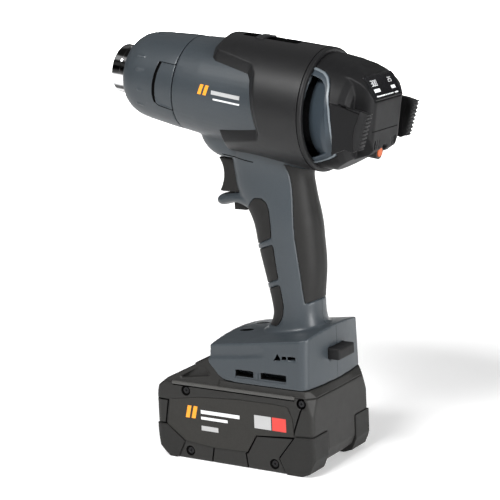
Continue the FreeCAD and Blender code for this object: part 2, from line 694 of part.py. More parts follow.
# ---------------------------------------------------------------- front cover and heater
COVER_OUTER = ((-43.3, 33.2), (-56.0, 32.5), (-64.6, 31.7), (-73.2, 30.9), (-79.5, 29.9),
               (-84.0, 28.4), (-87.5, 26.4), (-89.7, 24.2), (-90.6, 22.4))


def spline_lathe(outer, inner):
    """Turn a ring whose outer side is a smooth curve through points about the X axis."""
    curve = Part.BSplineCurve()
    curve.interpolate([V(x, 0, r) for x, r in outer])
    points = [V(outer[-1][0], 0, outer[-1][1])] + [V(x, 0, r) for x, r in inner]
    points.append(V(outer[0][0], 0, outer[0][1]))
    edges = [curve.toShape()]
    for a, b in zip(points, points[1:]):
        edges.append(Part.LineSegment(a, b).toShape())
    return Part.Face(Part.Wire(edges)).revolve(V(0, 0, 0), V(1, 0, 0), 360)


FLAT_OUTLINE = ((-57.0, 15.8), (-58.6, 8.0), (-59.4, 0.0), (-57.8, -9.0), (-54.5, -13.6),
                (-30.0, -16.0), (-30.0, 15.8))


def cover_flat():
    """The shallow thumb recess over the seam, on the left, in barrel coordinates."""
    skin = lathe([(-62.0, 31.0), (-30.0, 34.4), (-30.0, 60.0), (-62.0, 60.0)])
    return skin.common(side_prism(FLAT_OUTLINE, -60, -10))


def make_front_cover():
    inner = [(-90.6, 18.2), (-88.6, 18.2), (-86.6, 22.0), (-82.0, 26.4), (-76.0, 28.2),
             (-56.0, 30.2), (-43.3, 31.0)]
    cover = spline_lathe(COVER_OUTER, inner)
    ticks = []
    for along, angle in ((-77.0, 32.0), (-75.0, 14.5), (-72.5, -11.0), (-75.0, -33.0), (-74.0, 78.0)):
        tick = box(along, along + 6.0, -31.5, -29.0, -0.6, 0.6)
        tick.rotate(V(0, 0, 0), V(1, 0, 0), -angle)
        ticks.append(tick)
    cover = cover.fuse(ticks).cut([cover_flat(), mirror_y(cover_flat())])
    save("front_cover", barrel_place(cover))


def make_heater():
    nozzle = lathe([(NOZZLE_ROOT - 0.4, NOZZLE_R - NOZZLE_WALL), (NOZZLE_ROOT - 0.4, NOZZLE_BACK_R),
                    (NOZZLE_TIP + 6.4, NOZZLE_BACK_R), (NOZZLE_TIP + 6.4, NOZZLE_R),
                    (NOZZLE_TIP, NOZZLE_R), (NOZZLE_TIP, NOZZLE_R - NOZZLE_WALL)])
    sleeve_r = NOZZLE_R - NOZZLE_WALL - 0.1
    sleeve = tube(NOZZLE_TIP + 6.0, NOZZLE_ROOT - 0.4, sleeve_r, sleeve_r - SLEEVE_WALL)
    core = rod(-95.0, -41.0, 4.0)
    for i in range(4):
        fin = box(-95.0, -41.0, -0.9, 0.9, 0, CORE_R)
        fin.rotate(V(0, 0, 0), V(1, 0, 0), 90 * i)
        core = core.fuse(fin)
    core = core.cut(rod(-96.0, -40.0, 2.0))
    coil = ribbon_coil(V(-93.0, 0, 0), V(1, 0, 0), 50.0, 13.6, 10)
    flange = tube(NOZZLE_ROOT - 0.3, NOZZLE_ROOT + 2.8, 24.0, 11.0)
    spider = box(NOZZLE_ROOT - 0.3, NOZZLE_ROOT + 2.8, -12, 12, -1.2, 1.2)
    save("nozzle_tube", barrel_place(nozzle))
    save("insulating_sleeve", barrel_place(sleeve))
    save("heater_core", barrel_place(core))
    save("heater_coil", barrel_place(coil))
    save("heater_flange", barrel_place(flange.fuse(spider)))


def make_fan():
    duct = lathe([(-37.1, 15.4), (-37.1, 16.9), (-24.0, 16.9), (-3.0, 25.4), (24.0, 25.4),
                  (24.0, 24.0), (-2.6, 24.0), (-23.6, 15.4)])
    ring = tube(18.0, 23.0, 16.2, 14.1)
    spokes = []
    for i in range(3):
        spoke = box(18.0, 23.0, -1.2, 1.2, 15.4, 24.6)
        spoke.rotate(V(0, 0, 0), V(1, 0, 0), 120 * i + 60)
        spokes.append(spoke)
    motor = rod(16.0, 46.0, 14.0).fuse(rod(46.0, 49.0, 5.0)).cut(rod(15.0, 40.0, 1.2))
    hub = rod(0.0, 13.0, 8.0)
    blades = []
    count = 7
    for i in range(count):
        blade = box(-6.0, 6.0, -0.8, 0.8, 7.0, 22.8)
        blade.rotate(V(0, 0, 0), V(0, 0, 1), 35)
        blade.translate(V(6.5, 0, 0))
        blade.rotate(V(0, 0, 0), V(1, 0, 0), 360 / count * i)
        blades.append(blade)
    impeller = hub.fuse(blades).cut(rod(-1, 14, 1.15))
    save("fan_duct", barrel_place(duct.fuse([ring] + spokes)))
    save("fan_motor", barrel_place(motor))
    save("motor_shaft", barrel_place(rod(-1.5, 38.0, 1.15)))
    save("impeller", barrel_place(impeller))


# ---------------------------------------------------------------- trigger, switch and wiring
def make_trigger():
    front = Part.BSplineCurve()
    front.interpolate([V(-24.6, -TRIGGER_HALF, 211.3), V(-21.6, -TRIGGER_HALF, 206.0),
                       V(-20.7, -TRIGGER_HALF, 200.5), V(-21.5, -TRIGGER_HALF, 194.5),
                       V(-24.4, -TRIGGER_HALF, 187.7)])
    corners = [V(-24.4, -TRIGGER_HALF, 187.7), V(-1.0, -TRIGGER_HALF, 187.7),
               V(-1.0, -TRIGGER_HALF, 211.3), V(-24.6, -TRIGGER_HALF, 211.3)]
    edges = [front.toShape()]
    for a, b in zip(corners, corners[1:]):
        edges.append(Part.LineSegment(a, b).toShape())
    blade = Part.Face(Part.Wire(edges)).extrude(V(0, 2 * TRIGGER_HALF, 0))
    front_edges = [edge for edge in blade.Edges if edge.BoundBox.XMax < -19 and
                   edge.BoundBox.ZLength > 15]
    blade = blade.makeFillet(3.4, front_edges)
    blade = blade.cut(box(-16.0, -0.5, -5.8, 5.8, 190.0, 209.0))
    plunger = rod(-16.5, 9.2, 1.8, 0, 199.5)
    save("trigger", blade.fuse(plunger))
    save("trigger_spring", helix_spring(V(-15.5, 0, 199.5), V(1, 0, 0), 24.5, 3.2, 0.4, 11))
    body = box(9.5, 20.5, -7.6, 7.6, 189.0, 211.0).cut(rod(9, 16, 2.0, 0, 199.5))
    terminals = [box(20.5, 24.0, y - 1.6, y + 1.6, 191.0, 191.8) for y in (-4.0, 4.0)]
    save("switch_body", body.fuse(terminals))


def make_stage_button():
    button = box(STAGE_FRONT, STAGE_REAR, -5.0, 5.0, 174.8, 181.6)
    button = button.fuse(box(STAGE_FRONT - 1.0, STAGE_REAR + 1.0, -6.1, 6.1, 180.4, 181.8))
    middle = V((STAGE_FRONT + STAGE_REAR) / 2, 0, 182.15)
    save("stage_button", button)
    save("stage_spring", helix_spring(middle, V(0, 0, 1), 3.1, 2.6, 0.3, 3))


def bent_wire(points, bend_radius, wire_radius):
    """A round wire of straight runs joined by tangent arcs."""
    edges = []
    start = points[0]
    for before, corner, after in zip(points, points[1:], points[2:]):
        towards = (before - corner).normalize()
        away = (after - corner).normalize()
        half_turn = (math.pi - towards.getAngle(away)) / 2
        reach = bend_radius * math.tan(half_turn)
        first = corner + towards * reach
        last = corner + away * reach
        middle_way = (towards + away).normalize()
        middle = corner + middle_way * (bend_radius / math.cos(half_turn) - bend_radius)
        edges.append(Part.LineSegment(start, first).toShape())
        edges.append(Part.Arc(first, middle, last).toShape())
        start = last
    edges.append(Part.LineSegment(start, points[-1]).toShape())
    heading = (points[1] - points[0]).normalize()
    profile = Part.Wire(Part.makeCircle(wire_radius, points[0], heading))
    return Part.Wire(edges).makePipeShell([profile], True, False)


def make_power_leads():
    leads = []
    for y in (-4.0, 4.0):
        route = [V(28.0, y, 84.1), V(28.0, y, 96.0), V(24.5, y, 112.0), V(24.5, y, 150.0),
                 V(22.8, y, 170.0), V(22.8, y, 190.9)]
        leads.append(bent_wire(route, 12.0, 1.3))
    save("power_leads", leads[0].fuse(leads[1]))


def make_contact_block():
    block = box(8.0, 44.0, -17.0, 17.0, 71.2, 79.0)
    block = block.fuse([box(24.0, 32.0, y - 2.2, y + 2.2, 79.0, 81.9) for y in (-4.0, 4.0)])
    blades = [box(12.0, 34.0, y - 0.4, y + 0.4, 62.2, 71.2) for y in TERMINAL_ROWS]
    posts = [Part.makeCylinder(0.9, 2.2, V(28.0, y, 81.9)) for y in (-4.0, 4.0)]
    save("contact_block", block)
    save("contact_blades", blades[0].fuse(blades[1:]))
    save("lead_posts", posts[0].fuse(posts[1]))


def make_housing_fasteners():
    screws = [screw_solid(x, z, screw_heads()[i]) for i, (x, z) in enumerate(screw_places())]
    save("housing_screws", Part.makeCompound(screws))


def make_foot_bumper():
    bumper = box(55.4, 70.0, -10.7, 10.7, 76.6, 84.4)
    edges = [edge for edge in bumper.Edges if edge.BoundBox.XMin > 60]
    save("foot_bumper", bumper.makeFillet(1.4, edges))


# ---------------------------------------------------------------- battery pack
PACK_SIDE = ((-54.0, 0.0), (-62.0, 7.6), (PACK_FRONT, 21.0), (PACK_FRONT, 44.0), (-62.5, 51.5),
             (-58.0, PACK_SPLIT), (PACK_REAR, PACK_SPLIT), (PACK_REAR, 15.0), (61.0, 8.0),
             (54.5, 3.0), (50.0, 0.0))
BUMPER_SIDE = ((-54.7, 0.0), (-62.8, 7.2), (-65.8, 20.8), (-65.8, 44.0), (-62.5, PACK_SPLIT),
               (PACK_REAR, PACK_SPLIT), (PACK_REAR + BUMPER_PROUD, 12.0), (60.2, 2.4), (53.9, 0.0))
WEDGE_SIDE = ((-58.0, PACK_SPLIT), (-54.6, 57.6), (-21.6, 74.5), (-20.7, 73.8), (-19.4, 71.8),
              (-15.0, 66.9), (-12.7, 64.6), (-10.4, 62.9), (-7.6, 61.5), (-4.1, 60.6),
              (6.0, PACK_DECK), (6.0, PACK_SPLIT))
WEDGE_END = ((-PACK_HALF, PACK_SPLIT), (-30.5, 75.0), (-29.0, 76.0), (29.0, 76.0), (30.5, 75.0),
             (PACK_HALF, PACK_SPLIT))
LABEL_SIDE = ((-53.0, 42.3), (-27.4, 46.6), (5.8, 48.9), (33.9, 48.9), (44.2, 48.1), (47.8, 40.0),
              (48.8, 27.5), (18.3, 24.6), (10.6, 11.4), (-16.9, 10.7), (-41.2, 12.9), (-56.0, 23.4))
PACK_SCREWS = ((-39.0, 49.8), (54.6, 51.4), (-37.4, 6.0), (32.0, 6.0))
SHOULDER_LOW = 43.0             # where the rear corners start to lean in towards the foot


def pack_plan(height, inset=0.0):
    """The pack's level outline."""
    tip, heel = PACK_CORNERS
    return footprint(height, PACK_FRONT - 1 + inset, PACK_REAR - inset, PACK_HALF - inset,
                     (tip - min(inset, 2.0), heel - min(inset, 2.0)), 0.1)


def shoulder_cut(side):
    """What is taken off one rear upper corner, and the dished place round its screw."""
    away = V(0.75, 0.61 * side, 0.25).normalize()
    corner = V(PACK_REAR - 0.9, side * (PACK_HALF - 0.9), SHOULDER_LOW)
    slab = box(-60, 60, -60, 60, 0, 40)
    slab.Placement = FreeCAD.Placement(corner, FreeCAD.Rotation(V(0, 0, 1), away))
    x, z = PACK_SCREWS[1]
    dish = Part.makeCone(2.4, 7.0, 3.0, V(x, side * (PACK_HALF - 1.6), z), V(0, side, 0))
    return slab.fuse(dish)


def pack_form(inset=0.0):
    """The pack below its split line."""
    block = Part.Face(pack_plan(0.0, inset)).extrude(V(0, 0, PACK_SPLIT))
    outline = PACK_SIDE
    if inset:
        outline = inset_outline(PACK_SIDE, (0.0, 28.0), inset * 1.2)
    return block.common(side_prism(outline, -60, 60))


def label_recess(depth):
    """The shallow field on the pack's left side."""
    return side_prism(LABEL_SIDE, -60, -PACK_HALF + depth)


def pack_screw(x, z):
    head = Part.makeCylinder(2.1, 1.6, V(x, -PACK_HALF + 2.6, z), V(0, -1, 0))
    shank = Part.makeCylinder(1.0, 8.0, V(x, -PACK_HALF + 10.6, z), V(0, -1, 0))
    drive = Part.makeCylinder(0.9, 1.0, V(x, -PACK_HALF + 1.8, z), V(0, -1, 0))
    return head.fuse(shank).cut(drive)


def pack_screw_hole(x, z):
    head = Part.makeCylinder(2.4, 20.0, V(x, -PACK_HALF + 2.6, z), V(0, -1, 0))
    shank = Part.makeCylinder(1.05, 9.0, V(x, -PACK_HALF + 11.0, z), V(0, -1, 0))
    return head.fuse(shank)


def pack_boss(x, z):
    return Part.makeCylinder(2.6, 12.0, V(x, -PACK_HALF + 13.0, z), V(0, -1, 0))


def both_sides(shapes):
    return list(shapes) + [mirror_y(shape) for shape in shapes]


def bumper_skin():
    """The proud skin that the corner bumpers are cut from."""
    tip, heel = PACK_CORNERS
    plan = footprint(0.0, PACK_FRONT - 1.5, PACK_REAR + BUMPER_PROUD + 0.6, PACK_HALF + BUMPER_PROUD,
                     (tip + 0.4, heel + 0.4), 0.1)
    outer = Part.Face(plan).extrude(V(0, 0, PACK_SPLIT))
    return outer.common(side_prism(BUMPER_SIDE, -60, 60))


def bumper_zone():
    """The corner volumes that the bumpers cover, on all four corners."""
    front = side_prism([(-75, -1), (-48.6, -1), (-41.6, 12.4), (-56.4, 23.4), (-75, 23.4)], -50, -24)
    rear = side_prism([(42.4, -1), (70, -1), (70, 29.0), (49.4, 27.5), (36.6, 10.8)], -50, -19.5)
    return both_sides([front, rear])


def make_pack_shells():
    base = pack_form().cut(pack_form(WALL).cut(box(-80, 80, -60, 60, -5, WALL)))
    base = base.cut([shoulder_cut(1), shoulder_cut(-1)])
    bosses = [pack_boss(x, z).common(pack_form()) for x, z in PACK_SCREWS]
    base = base.fuse(both_sides(bosses))
    zone = bumper_zone()
    skin = bumper_skin()
    core = pack_form(1.4)
    bumpers = [skin.common(part).cut(core) for part in zone]
    base = base.cut(bumpers)
    base = base.cut(both_sides([label_recess(0.7)]))
    base = base.cut(both_sides([pack_screw_hole(x, z) for x, z in PACK_SCREWS]))
    save("pack_base", sorted(base.Solids, key=lambda s: s.Volume)[-1])
    holes = both_sides([pack_screw_hole(x, z) for x, z in PACK_SCREWS])
    save("pack_bumpers", Part.makeCompound([part.cut(holes) for part in bumpers]))
    screws = both_sides([pack_screw(x, z) for x, z in PACK_SCREWS])
    save("pack_screws", Part.makeCompound(screws))
    panel = side_prism(inset_outline(LABEL_SIDE, (0.0, 28.0), 0.5), -PACK_HALF - 0.05,
                       -PACK_HALF + 0.7)
    save("pack_label_left", panel)
    save("pack_label_right", mirror_y(panel))


def release_place(shape):
    """Place a shape on the wedge's slope, z out of the slope."""
    placed = shape.copy()
    low, high = WEDGE_SIDE[1:3]
    slope = (high[1] - low[1]) / (high[0] - low[0])
    centre = V(RELEASE_X, 0, low[1] + slope * (RELEASE_X - low[0]))
    turn = FreeCAD.Rotation(V(0, 1, 0), -math.degrees(math.atan(slope)))
    placed.Placement = FreeCAD.Placement(centre, turn).multiply(placed.Placement)
    return placed


def make_pack_top():
    deck = Part.makeLoft([pack_plan(PACK_SPLIT),
                          footprint(PACK_DECK, PACK_FRONT - 1, FOOT_REAR + 0.4, PACK_HALF,
                                    FOOT_CORNERS, FOOT_BOW)], True, True)
    trim = box(-10.9, 70.0, -60, 60, PACK_SPLIT, PACK_DECK)
    ends = end_prism([(-PACK_HALF, PACK_SPLIT), (-PACK_HALF, 57.2), (-PACK_HALF + 1.2, PACK_DECK),
                      (PACK_HALF - 1.2, PACK_DECK), (PACK_HALF, 57.2), (PACK_HALF, PACK_SPLIT)],
                     -80, 80)
    deck = deck.common(trim).common(ends)
    wedge = side_prism(WEDGE_SIDE, -60, 60).common(end_prism(WEDGE_END, -80, 80))
    plan = Part.Face(pack_plan(PACK_SPLIT)).extrude(V(0, 0, 25.0))
    wedge = wedge.common(plan)
    block = box(RAIL_FRONT, RAIL_REAR, -RAIL_HALF, RAIL_HALF, PACK_DECK - 1, RAIL_TOP)
    groove = box(RAIL_FRONT - 8, RAIL_REAR + 5, 20.6, 40, 62.2, 66.4)
    block = block.cut([groove, mirror_y(groove)])
    hollow = box(-30.0, 56.0, -33, 33, PACK_SPLIT - 1, 57.4)
    slots = [box(5.0, 60.0, y - 1.0, y + 1.0, 61.5, 80) for y in TERMINAL_ROWS]
    bay = release_place(box(-7.3, 7.3, -15.3, 15.3, -5.6, 6))
    pockets = [box(5.2, 44.2, y - 2.6, y + 2.6, 57.3, 66.2) for y in TERMINAL_ROWS]
    facet = side_prism([(-46.0, 58.2), (-20.5, 62.0), (-27.0, 68.5)], -60, -33.6)
    top = deck.fuse([wedge, block]).cut([hollow, bay] + slots + pockets)
    top = top.cut([facet, mirror_y(facet), shoulder_cut(1), shoulder_cut(-1)])
    save("pack_top", sorted(top.Solids, key=lambda s: s.Volume)[-1])


def make_release_button():
    button = box(-7.0, 7.0, -15.0, 15.0, -2.6, 1.2)
    edges = [edge for edge in button.Edges if edge.BoundBox.ZMin > 1.0]
    button = button.makeFillet(0.8, edges)
    ribs = [box(x - 0.5, x + 0.5, -11, 11, 0.8, 2.0) for x in (-3.0, 0.0, 3.0)]
    save("release_button", release_place(button.cut(ribs)))
    save("release_spring", release_place(helix_spring(V(0, 0, -5.25), V(0, 0, 1), 2.3, 2.6, 0.3, 2)))


def make_pack_inside():
    cells = []
    holes = []
    for row in CELL_LAYERS:
        for i in range(5):
            x = (i - 2) * CELL_PITCH + CELL_MIDDLE_X
            cells.append(Part.makeCylinder(CELL_R, CELL_LENGTH, V(x, -CELL_LENGTH / 2, row),
                                           V(0, 1, 0)))
            holes.append(Part.makeCylinder(CELL_R + 0.15, 90, V(x, -45, row), V(0, 1, 0)))
    combs = [box(-54.0, 51.0, y - 2, y + 2, 5.5, 51.0).cut(holes) for y in (-20.0, 20.0)]
    save("pack_cells", Part.makeCompound(cells))
    save("cell_holder", Part.makeCompound(combs))
    clips = []
    for y in TERMINAL_ROWS:
        clip = box(5.4, 44.0, y - 2.4, y + 2.4, 57.6, 66.0)
        clips.append(clip.cut(box(5.0, 44.5, y - 1.1, y + 1.1, 58.6, 67.0)))
    save("pack_terminals", Part.makeCompound(clips))


make_housing()
make_rear_ring()
make_jacket()
make_rear_cover()
make_display()
make_dial()
make_front_cover()
make_heater()
make_fan()
make_trigger()
make_stage_button()
make_power_leads()
make_contact_block()
make_housing_fasteners()
make_foot_bumper()
make_pack_shells()
make_pack_top()
make_release_button()
make_pack_inside()
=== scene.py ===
"""The finished looks of a cordless heat gun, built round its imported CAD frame.

Sizes are in millimetres in the row's frame unless a comment says barrel coordinates: distance along
the barrel axis, side, height above that axis.  They become metres when a mesh is made.
"""
import json
import math

import bmesh
import bpy
from mathutils import Matrix, Vector


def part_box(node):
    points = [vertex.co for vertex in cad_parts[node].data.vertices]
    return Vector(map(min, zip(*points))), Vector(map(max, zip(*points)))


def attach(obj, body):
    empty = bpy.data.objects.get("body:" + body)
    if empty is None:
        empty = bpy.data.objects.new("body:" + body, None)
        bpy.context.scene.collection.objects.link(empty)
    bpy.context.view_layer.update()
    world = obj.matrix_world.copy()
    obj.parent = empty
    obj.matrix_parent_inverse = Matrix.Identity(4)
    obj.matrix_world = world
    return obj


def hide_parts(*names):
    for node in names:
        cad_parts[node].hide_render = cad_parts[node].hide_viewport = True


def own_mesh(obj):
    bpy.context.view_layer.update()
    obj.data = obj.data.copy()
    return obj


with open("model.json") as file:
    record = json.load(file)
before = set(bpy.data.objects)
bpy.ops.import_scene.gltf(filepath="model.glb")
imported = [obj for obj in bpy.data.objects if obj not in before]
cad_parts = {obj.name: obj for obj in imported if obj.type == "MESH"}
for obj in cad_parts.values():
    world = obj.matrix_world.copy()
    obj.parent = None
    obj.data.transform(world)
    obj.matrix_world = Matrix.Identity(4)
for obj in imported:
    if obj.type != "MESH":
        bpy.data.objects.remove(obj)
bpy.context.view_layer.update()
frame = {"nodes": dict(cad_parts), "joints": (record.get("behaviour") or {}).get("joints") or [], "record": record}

MM = 0.001
ROW = Matrix.Scale(MM, 4)
BODY_OF = {node: body for body, nodes in frame["record"]["behaviour"]["bodies"].items() for node in nodes}
SLOT_OF = {part["node"]: part["material_slot"] for part in frame["record"]["subparts"]}
JOINTS = {joint["name"]: joint for joint in frame["joints"]}
AXIS = Vector(JOINTS["fan_spin"]["axis"])
BARREL = (Matrix.Translation(JOINTS["fan_spin"]["pos_m"])
          @ Matrix.Rotation(math.atan2(-AXIS.z, AXIS.x), 4, "Y") @ ROW)
DISPLAY = BARREL @ Matrix.Translation((101.2, 0, 23.1)) @ Matrix.Rotation(math.radians(-35.4), 4, "Y")
RING = Matrix.Translation((0.061, 0, 0.2468)) @ Matrix.Rotation(math.radians(3.0), 4, "Y") @ ROW
PACK_SIDE = -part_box("pack_base")[0].y / MM


# ---------------------------------------------------------------- mesh helpers
def new_object(name, mesh):
    obj = bpy.data.objects.new(name, mesh)
    bpy.context.scene.collection.objects.link(obj)
    return obj


def solid(name, points, faces, place=ROW):
    """A closed mesh from points in millimetres."""
    mesh = bpy.data.meshes.new(name)
    mesh.from_pydata([place @ Vector(p) for p in points], [], faces)
    work = bmesh.new()
    work.from_mesh(mesh)
    bmesh.ops.recalc_face_normals(work, faces=work.faces)
    work.to_mesh(mesh)
    work.free()
    return new_object(name, mesh)


def settle(obj):
    """Turn an object's modifiers into its mesh."""
    graph = bpy.context.evaluated_depsgraph_get()
    mesh = bpy.data.meshes.new_from_object(obj.evaluated_get(graph), depsgraph=graph)
    obj.modifiers.clear()
    spent = obj.data
    obj.data = mesh
    bpy.data.meshes.remove(spent)
    return obj


def modify(obj, kind, **settings):
    modifier = obj.modifiers.new(kind, kind)
    for key, value in settings.items():
        setattr(modifier, key, value)
    return obj


def soften(obj, voxel, rounds):
    """Fuse an object into one even skin and round its edges."""
    modify(obj, "REMESH", mode="VOXEL", voxel_size=voxel * MM)
    modify(obj, "SMOOTH", factor=0.5, iterations=rounds)
    return settle(obj)


def two_slots(obj):
    """Room for a skin material and a groove material."""
    while len(obj.data.materials) < 2:
        obj.data.materials.append(None)
    return obj.data.materials


def combine(obj, others, how="DIFFERENCE"):
    """Cut others from an object, or join them to it, and use them up."""
    two_slots(obj)
    for other in others:
        modify(obj, "BOOLEAN", object=other, operation=how, solver="MANIFOLD")
    settle(obj)
    for other in others:
        bpy.data.objects.remove(other)
    return obj


def join(obj, others):
    """Gather other objects' meshes into one object and use them up."""
    work = bmesh.new()
    for other in others:
        work.from_mesh(other.data)
        bpy.data.objects.remove(other)
    work.to_mesh(obj.data)
    work.free()
    return obj


def clone(name, *nodes):
    """A welded copy of CAD nodes, to be worked on."""
    work = bmesh.new()
    for node in nodes:
        work.from_mesh(frame["nodes"][node].data)
    bmesh.ops.remove_doubles(work, verts=work.verts, dist=0.001 * MM)
    mesh = bpy.data.meshes.new(name)
    work.to_mesh(mesh)
    work.free()
    return new_object(name, mesh)


def box(x0, x1, y0, y1, z0, z1, place=ROW):
    points = [(x, y, z) for x in (x0, x1) for y in (y0, y1) for z in (z0, z1)]
    faces = [(0, 1, 3, 2), (4, 6, 7, 5), (0, 4, 5, 1), (2, 3, 7, 6), (0, 2, 6, 4), (1, 5, 7, 3)]
    return solid("box", points, faces, place)


def prism(outline, low, high, place=ROW, plane="side"):
    """Extrude an outline: (x, z) across y, or with plane "end" (y, z) along x."""
    count = len(outline)
    points = []
    for level in (low, high):
        for a, b in outline:
            points.append((a, level, b) if plane == "side" else (level, a, b))
    faces = [tuple(range(count)), tuple(range(2 * count - 1, count - 1, -1))]
    for i in range(count):
        j = (i + 1) % count
        faces.append((i, j, count + j, count + i))
    return solid("prism", points, faces, place)


def rounded(corners, radius, steps=5):
    """A closed outline with each corner turned into a short curve."""
    outline = []
    count = len(corners)
    for i, corner in enumerate(corners):
        here = Vector(corner)
        back = Vector(corners[i - 1]) - here
        ahead = Vector(corners[(i + 1) % count]) - here
        start = here + back.normalized() * min(radius, back.length * 0.45)
        end = here + ahead.normalized() * min(radius, ahead.length * 0.45)
        for k in range(steps + 1):
            t = k / steps
            outline.append(tuple(start * (1 - t) ** 2 + here * (2 * t * (1 - t)) + end * t ** 2))
    return outline


def ribbon(line, width):
    """The closed outline of a line drawn with an even width."""
    left = []
    right = []
    points = [Vector(p) for p in line]
    for i, point in enumerate(points):
        before = points[max(i - 1, 0)]
        after = points[min(i + 1, len(points) - 1)]
        turn_in = (point - before).normalized() if i else (after - point).normalized()
        turn_out = (after - point).normalized() if i < len(points) - 1 else turn_in
        way = (turn_in + turn_out).normalized()
        across = Vector((-way.y, way.x)) * (width / 2 / max(way.dot(turn_out), 0.4))
        left.append(tuple(point + across))
        right.append(tuple(point - across))
    return left + right[::-1]


def lathe(name, profile, count=192, place=BARREL):
    """Turn a closed (along, radius) outline about the place's x axis."""
    points = []
    faces = []
    rows = len(profile)
    for i in range(count):
        angle = 2 * math.pi * i / count
        for along, radius in profile:
            points.append((along, radius * math.sin(angle), radius * math.cos(angle)))
        for j in range(rows):
            a = i * rows + j
            b = i * rows + (j + 1) % rows
            c = (i + 1) % count * rows + (j + 1) % rows
            d = (i + 1) % count * rows + j
            faces.append((a, b, c, d))
    return solid(name, points, faces, place)


def dark(shape):
    """Mark a cutter, so that the faces it leaves behind take the groove material, a near-black painted shade."""
    for face in shape.data.polygons:
        face.material_index = 1
    return shape


def groove(obj, cutters, depth):
    """Cut shapes into an object's skin, no deeper than depth below the surface; the cut faces take painted shade.
    """
    core = new_object("core", obj.data.copy())
    settle(modify(core, "DISPLACE", strength=-depth * MM, mid_level=0.0))
    for cutter in cutters:
        modify(cutter, "BOOLEAN", object=core, operation="DIFFERENCE", solver="MANIFOLD")
        dark(settle(cutter))
    bpy.data.objects.remove(core)
    return combine(obj, cutters)


def turned(shape, angle):
    """Turn a shape built in barrel coordinates about the barrel's axis, in degrees."""
    spin = BARREL @ Matrix.Rotation(math.radians(angle), 4, "X") @ BARREL.inverted()
    shape.data.transform(spin)
    return shape


def both(make):
    """The shapes of one side and their mirror images across the centre plane."""
    shapes = []
    for side in (-1, 1):
        shapes += make(side)
    return shapes


def span(side, near, far):
    """The low and high y of a stretch between two distances from the centre plane."""
    return sorted((side * near, side * far))


# ---------------------------------------------------------------- materials
NOZZLE_R = 17.3


def fill_ramp(ramp, stops):
    """Set a colour ramp's stops from (position, grey level) pairs."""
    while len(ramp.elements) < len(stops):
        ramp.elements.new(0.5)
    for element, (position, level) in zip(ramp.elements, stops):
        element.position = position
        element.color = (level, level, level, 1.0)


def material(name, color, roughness, metallic=0.0, mottle=0.08, mottle_size=18.0, grain=0.25,
             grain_size=0.5, grain_depth=0.05, gloss=0.03, edge=0.0, coat=0.0, specular=0.25,
             bands=(), emission=0.0):
    """A surface with uneven colour, uneven gloss, a fine moulded or drawn grain and paler edges; bands, if given,
    are painted reflections by height across the nozzle.
    """
    made = bpy.data.materials.new(name)
    made.use_nodes = True
    tree = made.node_tree
    shader = tree.nodes["Principled BSDF"]
    shader.inputs["Metallic"].default_value = metallic
    shader.inputs["Coat Weight"].default_value = coat
    shader.inputs["Coat Roughness"].default_value = 0.15
    shader.inputs["Specular IOR Level"].default_value = specular
    shader.inputs["Emission Color"].default_value = (1.0, 1.0, 1.0, 1.0)
    shader.inputs["Emission Strength"].default_value = emission

    def node(kind, **settings):
        added = tree.nodes.new(kind)
        for key, value in settings.items():
            setattr(added, key, value)
        return added

    def link(source, target):
        tree.links.new(source, target)

    place = node("ShaderNodeTexCoord").outputs["Object"]

    def noise(size, detail=3.0):
        texture = node("ShaderNodeTexNoise")
        texture.inputs["Scale"].default_value = 1.0 / (size * MM)
        texture.inputs["Detail"].default_value = detail
        link(place, texture.inputs["Vector"])
        return texture.outputs["Fac"]

    def spread(source, low, high):
        remap = node("ShaderNodeMapRange")
        remap.inputs["From Min"].default_value = 0.25
        remap.inputs["From Max"].default_value = 0.75
        remap.inputs["To Min"].default_value = low
        remap.inputs["To Max"].default_value = high
        link(source, remap.inputs["Value"])
        return remap.outputs["Result"]

    def mix(factor, first, second):
        blend = node("ShaderNodeMix", data_type="RGBA")
        link(factor, blend.inputs["Factor"])
        for socket, value in ((blend.inputs["A"], first), (blend.inputs["B"], second)):
            if isinstance(value, tuple):
                socket.default_value = value
            else:
                link(value, socket)
        return blend.outputs["Result"]

    def tone(share):
        return tuple(min(channel * share, 1.0) for channel in color) + (1.0,)

    base = mix(noise(mottle_size), tone(1 - mottle), tone(1 + mottle))
    base = mix(spread(noise(grain_size * 1.7), 0.0, 1.0), base, tone(1 + mottle * 2))
    if edge:
        # Convex edges blend towards a paler tone, by up to edge, read from the surface's pointiness.
        edge_paling = node("ShaderNodeMapRange")
        edge_paling.inputs["From Min"].default_value = 0.52
        edge_paling.inputs["From Max"].default_value = 0.62
        edge_paling.inputs["To Max"].default_value = edge
        link(node("ShaderNodeNewGeometry").outputs["Pointiness"], edge_paling.inputs["Value"])
        base = mix(edge_paling.outputs["Result"], base, tone(1.9))
    # Painted reflections: the base colour is darkened and lightened in bands by height across the nozzle.
    if bands:
        height = node("ShaderNodeVectorMath", operation="DOT_PRODUCT")
        up = BARREL.to_3x3() @ Vector((0, 0, 1)) / MM
        middle = up.dot(BARREL.translation)
        height.inputs[1].default_value = up
        link(place, height.inputs[0])
        remap = node("ShaderNodeMapRange")
        remap.inputs["From Min"].default_value = middle - NOZZLE_R * MM
        remap.inputs["From Max"].default_value = middle + NOZZLE_R * MM
        link(height.outputs["Value"], remap.inputs["Value"])
        reflection_ramp = node("ShaderNodeValToRGB")
        fill_ramp(reflection_ramp.color_ramp, bands)
        link(remap.outputs["Result"], reflection_ramp.inputs["Fac"])
        blend = node("ShaderNodeMix", data_type="RGBA", blend_type="MULTIPLY")
        blend.inputs["Factor"].default_value = 1.0
        link(base, blend.inputs["A"])
        link(reflection_ramp.outputs["Color"], blend.inputs["B"])
        base = blend.outputs["Result"]
    link(base, shader.inputs["Base Color"])
    link(spread(noise(mottle_size / 3), roughness - gloss, roughness + gloss),
         shader.inputs["Roughness"])
    bump = node("ShaderNodeBump")
    bump.inputs["Strength"].default_value = grain
    bump.inputs["Distance"].default_value = grain_depth * MM
    link(noise(grain_size, 2.0), bump.inputs["Height"])
    link(bump.outputs["Normal"], shader.inputs["Normal"])
    return made


